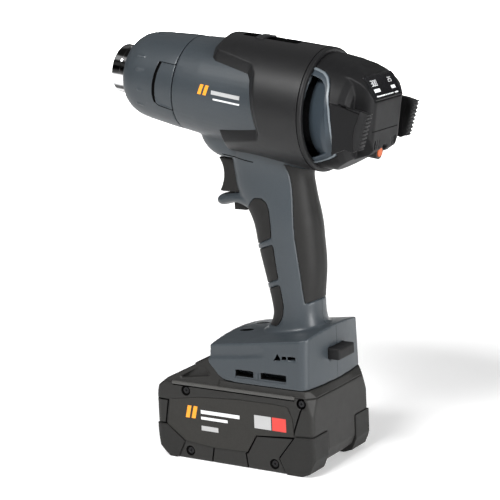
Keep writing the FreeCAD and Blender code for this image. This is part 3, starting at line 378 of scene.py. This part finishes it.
GREY = (0.035, 0.0425, 0.049)
CHARCOAL = (0.0105, 0.0105, 0.011)
WARM_BLACK = (0.018, 0.0175, 0.0165)
# Painted reflections for the nozzle: grey levels by height across it, from bottom to top.
PAINTED_REFLECTION_BANDS = ((0.0, 0.05), (0.06, 0.05), (0.08, 0.9), (0.12, 0.9), (0.14, 0.06), (0.2, 0.1), (0.24, 0.95),
         (0.44, 0.95), (0.47, 0.12), (0.72, 0.12), (0.75, 1.0), (0.8, 1.0), (0.83, 0.3))

# Painted shade: near-black for the faces of grooves, gaps, vents, wells and seams.
GROOVE = material("groove_shadow", (0.002, 0.002, 0.002), 0.9, specular=0.05)

GREY_SHELL = material("grey_shell", GREY, 0.38, edge=0.5, grain_size=0.45, specular=0.4)
SCOOP = material("scoop_grey", (0.03, 0.04, 0.05), 0.42, edge=0.4, grain_size=0.45, specular=0.3)
JACKET = material("jacket_soft_touch", CHARCOAL, 0.42, edge=0.4, grain_size=0.4, specular=0.3)
COVER = material("black_cover", (0.008, 0.008, 0.0085), 0.5, edge=0.4, grain_size=0.4, specular=0.15)
RING_BLACK = material("black_ring", (0.008, 0.008, 0.0085), 0.5, edge=0.4, grain_size=0.6, grain=0.1)
GRIP = material("grip_rubber", (0.0105, 0.0102, 0.0098), 0.55, grain=0.5, grain_size=0.7, edge=0.2)
PAD_RUBBER = material("pad_rubber", (0.009, 0.009, 0.0095), 0.6, grain=0.4, grain_size=0.6, edge=0.6)
TRIGGER_BLACK = material("trigger_black", (0.011, 0.0105, 0.01), 0.45, edge=0.3)
PACK = material("pack_shell", WARM_BLACK, 0.5, grain=0.5, grain_size=0.6, edge=0.4)
BUMPER = material("pack_bumper_rubber", (0.015, 0.0147, 0.014), 0.6, grain=0.5, grain_size=0.8,
                  edge=0.3)
# Painted highlight: pack plastic made paler, so the bead reads as a lit ridge.
BEAD_HIGHLIGHT = material("pack_bead", (0.05, 0.049, 0.046), 0.36, grain=0.2, grain_size=0.8, specular=0.5)
LABEL = material("pack_label", (0.022, 0.021, 0.019), 0.5, grain=0.15, grain_size=0.9)
# Polished steel with painted reflection bands by height.
STEEL = material("polished_nozzle", (0.88, 0.88, 0.89), 0.1, metallic=1.0, mottle=0.03,
                 grain=0.12, grain_depth=0.02, bands=PAINTED_REFLECTION_BANDS)
SCREW = material("black_screw", (0.012, 0.012, 0.013), 0.4, metallic=0.3, grain_size=0.3, edge=0.4)
BEZEL = material("display_bezel", (0.01, 0.01, 0.011), 0.16, grain=0.05)
GLASS = material("display_glass", (0.004, 0.004, 0.005), 0.1, grain=0.03, coat=0.3)
# Pale grey for the front cover's ticks; on the window rims the same grey is a painted highlight.
TICK_AND_RIM_HIGHLIGHT_GREY = material("tick_and_rim_highlight_grey", (0.13, 0.15, 0.165), 0.4, grain_size=0.4, specular=0.5)
WHITE_INK = material("white_ink", (0.78, 0.79, 0.8), 0.5, mottle=0.03, grain=0.1)
GREY_INK = material("grey_ink", (0.42, 0.42, 0.42), 0.5, mottle=0.04, grain=0.1)
ORANGE_INK = material("orange_ink", (0.86, 0.33, 0.03), 0.45, mottle=0.05, grain=0.1)
RED_INK = material("red_ink", (0.62, 0.06, 0.05), 0.45, mottle=0.05, grain=0.1)
ORANGE = material("orange_cap", (0.42, 0.09, 0.025), 0.38, edge=0.2)
BOARD = material("circuit_board", (0.02, 0.12, 0.05), 0.4, mottle=0.3, mottle_size=4.0)
MESH_BLACK = material("filter_mesh", (0.012, 0.012, 0.013), 0.7, grain=1.0, grain_size=1.0,
                      grain_depth=0.3)
MICA = material("mica_sleeve", (0.55, 0.46, 0.3), 0.55, mottle=0.25, mottle_size=5.0, grain=0.5)
CERAMIC = material("ceramic_core", (0.62, 0.58, 0.5), 0.7, mottle=0.1, mottle_size=6.0, grain=0.5)
HEAT_WIRE = material("heating_wire", (0.3, 0.27, 0.25), 0.4, metallic=0.9, mottle=0.3, mottle_size=3.0)
INNER = material("inner_plastic", (0.03, 0.03, 0.033), 0.5, grain_size=0.6)
ZINC = material("zinc_plate", (0.55, 0.55, 0.57), 0.3, metallic=1.0, mottle=0.08, grain=0.2)
COPPER = material("plated_contact", (0.72, 0.42, 0.2), 0.28, metallic=1.0, mottle=0.15, grain=0.2)
WIRE_RED = material("wire_sleeve", (0.4, 0.03, 0.025), 0.45, grain_size=0.4)
CELL = material("cell_sleeve", (0.07, 0.2, 0.42), 0.35, mottle=0.1, grain=0.1)


def dress(obj, paint, *nodes, slot=None, sharp=40.0):
    """Give a finished piece its material and body, and hide its CAD nodes when no slot is given."""
    slots = two_slots(obj)
    slots[0] = paint
    slots[1] = GROOVE
    obj.data.shade_smooth()
    obj.data.set_sharp_from_angle(angle=math.radians(sharp))
    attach(obj, BODY_OF[nodes[0]])
    if slot is None:
        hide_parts(*nodes)
        slot = SLOT_OF[nodes[0]]
    return obj


def moulded(node, paint, voxel, rounds, cuts=(), swell=0.0):
    """A CAD node remade with rounded edges, then with crisp cuts."""
    obj = soften(clone(node + "_skin", node), voxel, rounds)
    if swell:
        settle(modify(obj, "DISPLACE", strength=swell * MM, mid_level=0.0))
    if cuts:
        combine(obj, cuts)
    return dress(obj, paint, node)


# ---------------------------------------------------------------- housing
def foot_side(height):
    """Distance of the foot's side face from the centre plane."""
    return 38.9 - (height - 60.6) * 0.0584


def foot_dish(side):
    """A hollow above the shoulder ridge on one side of the foot, fading to the rear."""
    points = []
    for x, ridge, top, depth in ((-22.0, 75.0, 83.6, 2.0), (8.0, 78.2, 87.6, 2.0), (31.0, 82.0, 90.4, -0.4)):
        face = foot_side(ridge)
        points += [(x, side * face, ridge), (x, side * (face - depth), ridge + 0.9),
                   (x, side * (face - 0.4), top), (x, side * 46.0, top + 1.0), (x, side * 46.0, ridge - 1.0)]
    faces = [(0, 1, 2, 3, 4), (10, 11, 12, 13, 14)]
    for k in (0, 5):
        for i in range(5):
            j = (i + 1) % 5
            faces.append((k + i, k + j, k + 5 + j, k + 5 + i))
    return [solid("dish", points, faces)]


def foot_openings(side):
    """The vents in one side of the foot, cut with crisp edges and painted near-black inside as shade."""
    deep = span(side, 33.0, 50.0)
    shapes = [prism([(2.8, 65.4), (17.1, 65.4), (17.1, 69.8), (2.8, 69.8)], *deep),
              prism([(23.1, 65.4), (43.4, 65.4), (43.4, 69.8), (23.1, 69.8)], *deep),
              prism([(40.0, 80.7), (43.6, 80.9), (43.6, 83.1), (40.0, 82.9)], *deep),
              prism([(44.6, 80.9), (50.8, 81.3), (50.8, 83.4), (44.6, 83.1)], *deep),
              prism([(33.6, 79.5), (39.1, 80.1), (39.1, 81.0), (36.6, 84.6)], *deep)]
    return [dark(shape) for shape in shapes]


def foot_lip(side):
    """The sloping sill under the vents and the shallow bridge between them."""
    sill = [(2.8, 64.2), (43.4, 64.2), (43.4, 65.5), (2.8, 65.5)]
    bridge = [prism([(17.0, 65.5), (19.2, 65.5), (19.2, 69.7), (17.0, 69.7)], *span(side, 37.9, 50.0)),
              prism([(21.0, 65.5), (23.2, 65.5), (23.2, 69.7), (21.0, 69.7)], *span(side, 37.9, 50.0))]
    return bridge + [prism(sill, *span(side, 38.1, 50.0))]


def foot_well():
    """The oval hollow in the foot's top, in front of the handle, painted near-black as shade."""
    shapes = []
    for side in (-1, 1):
        well = lathe("well", [(0.0, 0.0), (0.0, 1.0), (8.0, 1.0), (8.0, 0.0)], 48, ROW)
        well.data.transform(ROW @ Matrix.Translation((-4.0, side * 10.5, 83.6))
                            @ Matrix.Rotation(-math.pi / 2, 4, "Y") @ Matrix.Diagonal((1, 2.6, 5.6, 1))
                            @ ROW.inverted())
        shapes.append(dark(well))
    return shapes


def deck_gap():
    """The pack's deck, swollen a little: it leaves a gap under the foot, painted near-black as shade."""
    return dark(settle(modify(soften(clone("gap", "pack_top"), 0.8, 2), "DISPLACE",
                              strength=0.55 * MM, mid_level=0.0)))


def top_slot():
    """The slot along the top of the barrel under the hanging bar, its cut faces painted near-black as shade."""
    hollow = prism(rounded([(-6.0, -6.8), (37.5, -6.8), (37.5, 6.8), (-6.0, 6.8)], 3.0), 35.0, 60.0)
    hollow.data.transform(BARREL @ Matrix.Rotation(math.pi / 2, 4, "X") @ ROW.inverted())
    return dark(hollow)


BROW_CREASE = ((-16.4, 214.9), (-4.0, 213.4), (11.7, 211.3))


def brow_crease(side):
    """The fine crease over the trigger."""
    return [prism(ribbon(BROW_CREASE, 0.8), *span(side, 10.0, 30.0))]


def barrel_seam():
    """The gap between the front cover and the housing, painted near-black as shade."""
    radius = barrel_radius(-43.0)
    outline = [(-44.0, radius - 1.6), (-44.0, radius + 2), (-42.4, radius + 2), (-42.4, radius - 1.6)]
    return [dark(lathe("seam", outline))]


def make_housing():
    skin = clone("housing_skin", "housing_left", "housing_right")
    soften(skin, 0.7, 2)
    combine(skin, both(foot_dish))
    soften(skin, 0.7, 3)
    combine(skin, both(foot_lip))
    # The vents, seam, well, slot and deck gap leave faces painted near-black as shade.
    combine(skin, both(foot_openings) + barrel_seam() + foot_well() + [top_slot(), deck_gap()])
    groove(skin, both(brow_crease), 0.6)
    seam = 0.12
    halves = {"housing_left": (-seam, -60.0), "housing_right": (seam, 60.0)}
    for node, (inner, outer) in halves.items():
        half = new_object(node + "_skin", skin.data.copy())
        y0, y1 = sorted((inner, outer))
        # The centre seam's cut faces take painted shade.
        combine(half, [dark(box(-120, 120, y0, y1, 40, 320))], "INTERSECT")
        dress(half, GREY_SHELL, node)
    bpy.data.objects.remove(skin)


def make_grips():
    for node in ("palm_grip", "finger_grip_upper", "finger_grip_middle", "finger_grip_lower"):
        moulded(node, GRIP, 0.45, 4, swell=-0.3)


# ---------------------------------------------------------------- jacket, ring and rear cover
JACKET_FRONT = -22.0
JACKET_REAR = 66.0
JACKET_EDGE = ((-22.0, 0), (-20.5, 29), (-17.4, 44.6), (-13.7, 49.1), (14.6, 57.7), (17.3, 62.8),
               (20.2, 78.3), (23.9, 102.1), (25.8, 115.1), (-6.2, 129.2), (-11.0, 180))
JACKET_BEVEL = 6.2
SURFACE_R = 36.0                # radius at which distances over the barrel's skin are measured


def barrel_radius(along):
    return 34.6 + (along + 24.0) * 3.0 / 86.0


def jacket_radius(along):
    return 40.2 + max(along + 17.5, 0) * 0.7 / 13.5 if along < -4.0 else 40.9 + (along + 4.0) / 74.0


def edge_distance(along, angle, line):
    """Distance over the barrel's skin from the jacket's front edge, negative in front of it."""
    here = Vector((along, math.radians(abs(angle)) * SURFACE_R))
    nearest = 1e9
    sign = 1
    for start, end in zip(line, line[1:]):
        way = end - start
        share = min(max((here - start).dot(way) / way.length_squared, 0.0), 1.0)
        nearest = min(nearest, (here - start - way * share).length)
        if (start.y <= here.y) != (end.y <= here.y):
            crossing = start.x + (here.y - start.y) * way.x / way.y
            if crossing > here.x:
                sign = -sign
    return nearest * sign


def make_jacket():
    """A sleeve whose skin rises over a bevel from the barrel along its stepped front edge."""
    line = [Vector((s, math.radians(a) * SURFACE_R)) for s, a in JACKET_EDGE]
    line[0].y -= 1.0
    line[-1].y += 1.0
    rows = 150
    turns = 440
    points = []
    for i in range(rows + 1):
        along = JACKET_FRONT - 1.0 + (JACKET_REAR - JACKET_FRONT + 1.0) * i / rows
        low = barrel_radius(along) - 0.6
        for j in range(turns):
            angle = 360.0 * j / turns - 180.0
            rise = min(max(edge_distance(along, angle, line) / JACKET_BEVEL, 0.0), 1.0)
            radius = low + rise * (jacket_radius(along) - low)
            turn = math.radians(angle)
            points.append((along, radius * math.sin(turn), radius * math.cos(turn)))
    inner = len(points)
    for along in (JACKET_FRONT - 1.0, JACKET_REAR):
        for j in range(turns):
            turn = math.radians(360.0 * j / turns - 180.0)
            radius = barrel_radius(along) - 1.6
            points.append((along, radius * math.sin(turn), radius * math.cos(turn)))
    faces = []
    last = rows * turns
    for j in range(turns):
        k = (j + 1) % turns
        for i in range(rows):
            a = i * turns
            faces.append((a + j, a + k, a + turns + k, a + turns + j))
        faces.append((inner + j, inner + turns + j, inner + turns + k, inner + k))
        faces.append((j, inner + j, inner + k, k))
        faces.append((last + j, last + k, inner + turns + k, inner + turns + j))
    skin = solid("barrel_jacket_skin", points, faces, BARREL)
    settle(modify(skin, "SMOOTH", factor=0.5, iterations=2))
    combine(skin, [top_slot(), box(-0.5, 60, -60, 60, -60, 60, RING)])
    return dress(skin, JACKET, "barrel_jacket", sharp=30.0)


def make_ring():
    outline = rounded([(-0.3, 38.1), (-0.3, 41.4), (0.3, 42.0), (1.6, 41.8), (2.7, 40.9), (2.7, 38.1)], 0.6)
    return dress(lathe("rear_ring_skin", outline, place=RING), RING_BLACK, "rear_ring", sharp=50.0)


WINDOW = ((58.0, 31.4), (63.2, 31.1), (70.7, 29.8), (75.0, 27.1), (78.1, 22.6), (79.6, 16.8),
          (82.4, 9.3), (84.2, 1.3), (85.8, -8.8), (86.6, -18.7), (86.4, -22.9), (80.1, -26.9),
          (70.7, -31.3), (60.0, -34.2))


def window_rim_highlight(side):
    """The thin lip round one side window, painted pale grey as a painted highlight."""
    line = [(s - 0.7, n - 0.5 if n > 0 else n + 0.5) for s, n in rounded(WINDOW, 1.5, 3)[2:-2]]
    rim = prism(ribbon(line, 1.0), *span(side, 6.0, 60.0), BARREL)
    shell = lathe("shell", [(50.0, 38.0), (70.0, 38.2), (80.0, 37.4), (89.0, 34.9), (89.0, 35.9),
                            (80.0, 38.15), (70.0, 38.95), (50.0, 38.75)])
    return [combine(rim, [shell], "INTERSECT")]


def make_rear_cover():
    seam = prism(ribbon([(-19.0, -4.6), (15.0, -4.6)], 0.6), 95.0, 112.0, BARREL, "end")
    cover = soften(clone("rear_cover_skin", "rear_cover"), 0.55, 4)
    arm_line = [prism(ribbon([(88.0, 255.6), (104.6, 250.0)], 0.5), *span(side, 33.0, 40.0))
                for side in (-1, 1)]
    groove(cover, [seam] + arm_line, 0.5)
    dress(cover, COVER, "rear_cover")
    for side, sign in (("left", -1), ("right", 1)):
        moulded("intake_scoop_" + side, SCOOP, 0.45, 6)
        rim = window_rim_highlight(sign)[0]
        rim.name = "window_rim_highlight_" + side
        # Painted highlight: the rim is grey shell plastic, painted pale grey along the window's edge.
        dress(rim, TICK_AND_RIM_HIGHLIGHT_GREY, "intake_scoop_" + side, slot="grey_shell")
        pad = clone("stand_pad_%s_skin" % side, "stand_pad_" + side)
        settle(modify(pad, "BEVEL", width=0.15 * MM, segments=2))
        dress(pad, PAD_RUBBER, "stand_pad_" + side)


# ---------------------------------------------------------------- front cover and nozzle
THUMB_FRONT = ((-56.4, 15.8), (-58.0, 8.0), (-58.8, 0.0), (-58.8, -7.5), (-57.6, -12.6))
THUMB_FLOOR = ((-57.8, -12.4), (-54.6, -14.4), (-38.0, -16.2))
THUMB_TOP = ((-57.0, 15.8), (-36.0, 15.8))


def thumb_lines(side):
    """The deep front edge and the finer upper and lower edges of one thumb recess."""
    reach = span(side, 20.0, 45.0)
    return [prism(ribbon(THUMB_FRONT, 2.0), *reach, BARREL), prism(ribbon(THUMB_FLOOR, 0.7), *reach, BARREL),
            prism(ribbon(THUMB_TOP, 0.5), *reach, BARREL)]


def make_front():
    cover = soften(clone("front_cover_skin", "front_cover"), 0.45, 3)
    groove(cover, both(thumb_lines), 0.9)
    dress(cover, GREY_SHELL, "front_cover")
    ticks = []
    for along, angle in ((-77.0, 32.0), (-75.0, 14.5), (-72.5, -11.0), (-75.0, -33.0), (-74.0, 78.0)):
        for side in (-1, 1):
            radius = 31.3 if along > -74 else 30.9
            tick = turned(box(along, along + 6.0, -radius, -radius + 1.2, -0.5, 0.5, BARREL), -angle)
            if side == 1:
                tick.data.transform(Matrix.Diagonal((1, -1, 1, 1)))
            ticks.append(tick)
    marks = join(new_object("front_cover_ticks", bpy.data.meshes.new("front_cover_ticks")), ticks)
    dress(marks, TICK_AND_RIM_HIGHLIGHT_GREY, "front_cover", slot="grey_shell")
    tip = -104.6
    root = -40.4
    outline = rounded([(tip, NOZZLE_R), (-98.2, NOZZLE_R), (-97.9, 17.0), (root, 17.0), (root, 16.4),
                       (tip, 16.4)], 0.42)
    dress(lathe("nozzle_tube_skin", outline), STEEL, "nozzle_tube", sharp=50.0)


# ---------------------------------------------------------------- controls
def make_controls():
    """The buttons, trigger, dial and buffer, each with rounded edges."""
    moulded("trigger", TRIGGER_BLACK, 0.4, 4)
    moulded("stage_button", TRIGGER_BLACK, 0.35, 3)
    moulded("hang_bar", JACKET, 0.35, 3)
    moulded("setting_dial", TRIGGER_BLACK, 0.25, 2)
    moulded("dial_cap", ORANGE, 0.2, 3)
    moulded("foot_bumper", PAD_RUBBER, 0.4, 4)
    moulded("release_button", TRIGGER_BLACK, 0.4, 3)


SEGMENTS = {"0": "abcdef", "1": "bc", "2": "abged", "3": "abgcd", "5": "afgcd"}


def digit(figure, left, low, height):
    """The lit bars of one seven-segment figure on the display, as boxes (y0, y1, z0, z1)."""
    wide = height * 0.5
    bar = height * 0.1
    half = height / 2
    spots = {"a": (0, wide, height - bar, height), "d": (0, wide, 0, bar),
             "g": (0, wide, half - bar / 2, half + bar / 2), "f": (0, bar, half, height),
             "e": (0, bar, 0, half), "b": (wide - bar, wide, half, height), "c": (wide - bar, wide, 0, half)}
    return [(left + y0, left + y1, low + z0, low + z1) for y0, y1, z0, z1 in
            (spots[name] for name in SEGMENTS[figure])]


def make_display():
    moulded("display_frame", BEZEL, 0.3, 2)
    glass = prism(rounded([(-17.55, -7.55), (17.55, -7.55), (17.55, 7.55), (-17.55, 7.55)], 0.6),
                  -1.35, -0.1, DISPLAY, "end")
    dress(glass, GLASS, "display_window")
    marks = []
    for k, figure in enumerate("300"):
        marks += digit(figure, -14.6 + 2.7 * k, 1.0, 4.2)
    for k, figure in enumerate("25"):
        marks += digit(figure, 8.4 + 2.7 * k, 1.6, 3.4)
    marks += [(-14.6, -6.8, -3.4, -1.0), (8.6, 14.0, -3.2, -1.0), (-14.6, -3.4, -6.6, -5.8)]
    marks += [(-2.4 + 2.2 * k, -1.0 + 2.2 * k, -6.6, -5.8) for k in range(5)]
    marks += [(10.0, 14.6, -6.6, -5.8)]
    ink = new_object("display_marks", bpy.data.meshes.new("display_marks"))
    join(ink, [box(-0.12, -0.04, y0, y1, z0, z1, DISPLAY) for y0, y1, z0, z1 in marks])
    dress(ink, WHITE_INK, "display_window", slot="display_glass")


# ---------------------------------------------------------------- battery pack
PANEL_LINES = (
    ((-66.0, 41.5), (-54.2, 41.4), (-57.2, 24.0), (-66.0, 23.2)),
    ((-57.2, 24.0), (-42.1, 12.4), (-49.4, 0.0)),
    ((-17.3, 10.7), (-19.1, 0.0)),
    ((9.2, 10.8), (10.7, 0.0)),
    ((36.2, 10.7), (41.8, 0.0)),
    ((48.0, 25.9), (64.6, 27.6)),
    ((47.3, 27.3), (56.1, 51.7)),
)


def pack_lines(side):
    """Grooves between the panels on one side of the pack."""
    lines = [prism(ribbon(line, 1.2), *span(side, PACK_SIDE - 3.0, PACK_SIDE + 4.0))
             for line in PANEL_LINES]
    under_bead = ribbon([(-50.0, 53.4), (49.5, 53.4)], 1.1)
    return lines + [prism(under_bead, *span(side, PACK_SIDE - 3.0, PACK_SIDE + 4.0))]


BUMPER_LINES = (
    ((9.4, 10.8), (10.8, 11.4), (18.3, 24.4), (48.4, 26.6)),
    ((48.4, 26.6), (36.4, 11.0)),
)


def bumper_lines(side):
    """The gaps round the corner bumper on one side of the pack; groove() paints their faces near-black as shade.
    """
    return [prism(ribbon(line, 1.2), *span(side, PACK_SIDE - 3.0, PACK_SIDE + 4.0)) for line in BUMPER_LINES]


WELL_R = 3.7
SCREW_WELLS = ((-39.0, 49.8, 0.9), (54.6, 51.4, 2.3), (-37.4, 6.0, 0.9), (32.0, 6.0, 0.9))


def screw_wells(side):
    """Countersinks round the pack's screws, painted near-black as shade: x, z and depth."""
    wells = []
    for x, z, depth in SCREW_WELLS:
        turns = [k * math.pi / 20 for k in range(40)]
        ring = [(x + WELL_R * math.cos(turn), z + WELL_R * math.sin(turn)) for turn in turns]
        wells.append(dark(prism(ring, *span(side, PACK_SIDE - depth, PACK_SIDE + 4.0))))
    return wells


def pack_bead(side):
    """The raised bead along the top of one side of the pack."""
    return [prism(rounded([(-50.0, 53.9), (50.0, 53.9), (50.0, 56.3), (-50.0, 56.3)], 0.8),
                  *span(side, PACK_SIDE - 1.5, PACK_SIDE + 1.0))]


def make_pack():
    base = clone("pack_base_skin", "pack_base")
    soften(base, 0.75, 8)
    groove(base, both(pack_lines) + both(bumper_lines), 0.8)
    combine(base, both(screw_wells))
    dress(base, PACK, "pack_base")
    moulded("pack_top", PACK, 0.6, 4)
    bumpers = soften(clone("pack_bumpers_skin", "pack_bumpers"), 0.5, 3)
    combine(bumpers, both(screw_wells))
    dress(bumpers, BUMPER, "pack_bumpers")
    for shape, name in zip(both(pack_bead), ("pack_bead_left", "pack_bead_right")):
        shape.name = name
        soften(shape, 0.4, 3)
        # The bead is painted paler than the pack, as a painted highlight.
        dress(shape, BEAD_HIGHLIGHT, "pack_base", slot="pack_plastic")
    for side in ("left", "right"):
        label = clone("pack_label_%s_skin" % side, "pack_label_" + side)
        dress(label, LABEL, "pack_label_" + side, sharp=2.0)


def slanted(left, low, width, height, lean=0.0):
    """A printed bar's outline, leaning by lean at its top."""
    top = low + height
    return [(left, low), (left + width, low), (left + width + lean, top), (left + lean, top)]


def make_marks():
    """Plain printed bars on the pack's label fields and the barrel: no lettering."""
    inks = {"pack_mark_orange": (ORANGE_INK, [(-40.0, 30.4, 3.2, 9.0), (-35.0, 30.4, 3.2, 9.0)]),
            "pack_mark_white": (WHITE_INK, [(-27.0, 34.6, 32.0, 2.6), (-27.0, 30.4, 22.0, 2.0)]),
            "pack_mark_grey": (GREY_INK, [(-27.0, 22.4, 14.0, 3.4), (17.0, 30.0, 13.5, 9.4)]),
            "pack_mark_red": (RED_INK, [(31.4, 30.0, 11.0, 9.4)])}
    for name, (ink, bars) in inks.items():
        shapes = []
        for left, low, width, height in bars:
            lean = 2.2 if ink == ORANGE_INK else 0.0
            for side in (-1, 1):
                shapes.append(prism(slanted(left, low, width, height, lean),
                                    *span(side, PACK_SIDE - 0.4, PACK_SIDE + 0.1)))
        piece = join(new_object(name, bpy.data.meshes.new(name)), shapes)
        dress(piece, ink, "pack_label_left", slot="pack_label")
    inks = {"barrel_mark_orange": (ORANGE_INK, [(-20.5, 0.6, 2.6, 6.8), (-16.2, 0.6, 2.6, 6.8)]),
            "barrel_mark_grey": (GREY_INK, [(-9.5, 2.2, 23.0, 2.6)]),
            "barrel_mark_white": (WHITE_INK, [(-7.5, -1.4, 21.5, 1.1)])}
    for name, (ink, bars) in inks.items():
        shapes = []
        for left, low, width, height in bars:
            lean = 1.6 if ink == ORANGE_INK else 0.0
            for side in (-1, 1):
                ends = (-24.0, 20.0)
                skin = [(along, barrel_radius(along) - 0.5) for along in ends]
                skin += [(along, barrel_radius(along) + 0.12) for along in ends[::-1]]
                bar = prism(slanted(left, low, width, height, lean), *span(side, 20.0, 50.0), BARREL)
                shapes.append(combine(bar, [lathe("skin", skin)], "INTERSECT"))
        piece = join(new_object(name, bpy.data.meshes.new(name)), shapes)
        dress(piece, ink, "housing_left", slot=SLOT_OF["housing_left"])

# ---------------------------------------------------------------- CAD nodes that stay
KEPT = {
    "housing_screws": SCREW, "pack_screws": SCREW, "display_module": BOARD, "control_board": BOARD,
    "dial_encoder": INNER, "air_filter": MESH_BLACK, "insulating_sleeve": MICA, "heater_core": CERAMIC,
    "heater_coil": HEAT_WIRE, "heater_flange": HEAT_WIRE, "fan_duct": INNER, "fan_motor": ZINC,
    "motor_shaft": ZINC, "impeller": INNER, "switch_body": INNER, "power_leads": WIRE_RED,
    "contact_block": INNER, "contact_blades": COPPER,
    "lead_posts": COPPER, "pack_cells": CELL, "cell_holder": INNER, "pack_terminals": COPPER,
}


def paint_kept():
    for node, paint in KEPT.items():
        data = frame["nodes"][node].data
        data.materials.clear()
        data.materials.append(paint)


def make_springs():
    """The return springs, copied from their CAD nodes."""
    for joint in frame["record"]["behaviour"]["joints"]:
        for spring in joint.get("deforming_nodes", ()):
            node = spring["node"]
            letter = spring["mode"][-1]
            along = "xyz".index(letter)
            axis = Vector((0, 0, 0))
            axis[along] = 1.0
            piece = dress(clone(node + "_skin", node), ZINC, node)
            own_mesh(piece)


# ---------------------------------------------------------------- studio
def make_stage():
    floor = solid("studio_floor", [(-30000, -30000, -0.2), (30000, -30000, -0.2), (30000, 30000, -0.2),
                                   (-30000, 30000, -0.2)], [(0, 1, 2, 3)])
    floor.data.materials.append(material("pale_floor", (0.93, 0.93, 0.93), 0.9, mottle=0.01,
                                         mottle_size=400.0, grain=0.02, specular=0.1, emission=0.24))


def make_world():
    """A dim sky with pale bands for the metal to mirror."""
    world = bpy.data.worlds.new("studio")
    bpy.context.scene.world = world
    world.use_nodes = True
    tree = world.node_tree
    height = tree.nodes.new("ShaderNodeSeparateXYZ")
    ramp = tree.nodes.new("ShaderNodeValToRGB")
    tree.links.new(tree.nodes.new("ShaderNodeTexCoord").outputs["Generated"], height.inputs["Vector"])
    tree.links.new(height.outputs["Z"], ramp.inputs["Fac"])
    tree.links.new(ramp.outputs["Color"], tree.nodes["Background"].inputs["Color"])
    stops = ((0.0, 0.75), (0.05, 0.7), (0.07, 0.03), (0.3, 0.03), (0.32, 0.9), (0.5, 0.9), (0.52, 0.04),
             (0.57, 0.04), (0.6, 0.9), (0.8, 0.8), (0.83, 0.08))
    fill_ramp(ramp.color_ramp, stops)
    tree.nodes["Background"].inputs["Strength"].default_value = 0.3


def add_light(name, place, target, size, power, spread=180.0):
    data = bpy.data.lights.new(name, "AREA")
    data.shape = "RECTANGLE"
    data.size, data.size_y = size
    data.energy = power
    data.spread = math.radians(spread)
    lamp = bpy.data.objects.new(name, data)
    bpy.context.scene.collection.objects.link(lamp)
    lamp.location = place
    lamp.rotation_euler = (Vector(target) - Vector(place)).to_track_quat("-Z", "Y").to_euler()


def make_camera():
    azimuth, elevation, roll = (math.radians(v) for v in (32.52, 12.13, -2.42))
    back = Vector((math.sin(azimuth) * math.cos(elevation), -math.cos(azimuth) * math.cos(elevation),
                   math.sin(elevation)))
    right = Vector((math.cos(azimuth), math.sin(azimuth), 0))
    up = back.cross(right)
    place = Vector((0, 0, 160.0)) - right * 4.58 - up * 13.62 + back * 1262.52
    facing = Matrix((right * math.cos(roll) + up * math.sin(roll),
                     up * math.cos(roll) - right * math.sin(roll), back)).transposed()
    data = bpy.data.cameras.new("camera")
    data.lens = 130.83
    data.sensor_width = 36.0
    data.clip_end = 100.0
    camera = bpy.data.objects.new("camera", data)
    bpy.context.scene.collection.objects.link(camera)
    camera.matrix_world = Matrix.Translation(place * MM) @ facing.to_4x4()
    bpy.context.scene.camera = camera


make_housing()
make_grips()
make_jacket()
make_ring()
make_rear_cover()
make_front()
make_controls()
make_display()
make_pack()
make_marks()
paint_kept()
make_springs()
make_stage()
make_world()
add_light("key", (-0.15, -1.25, 1.45), (0, 0, 0.18), (0.8, 0.4), 36)
add_light("side", (1.5, -0.35, 0.45), (0, 0, 0.15), (0.4, 0.9), 24)
add_light("backdrop", (-1.4, 3.9, 3.0), (-1.4, 3.9, 0.0), (6.0, 4.4), 420, 75.0)
make_camera()
bpy.context.scene.view_settings.view_transform = "Standard"
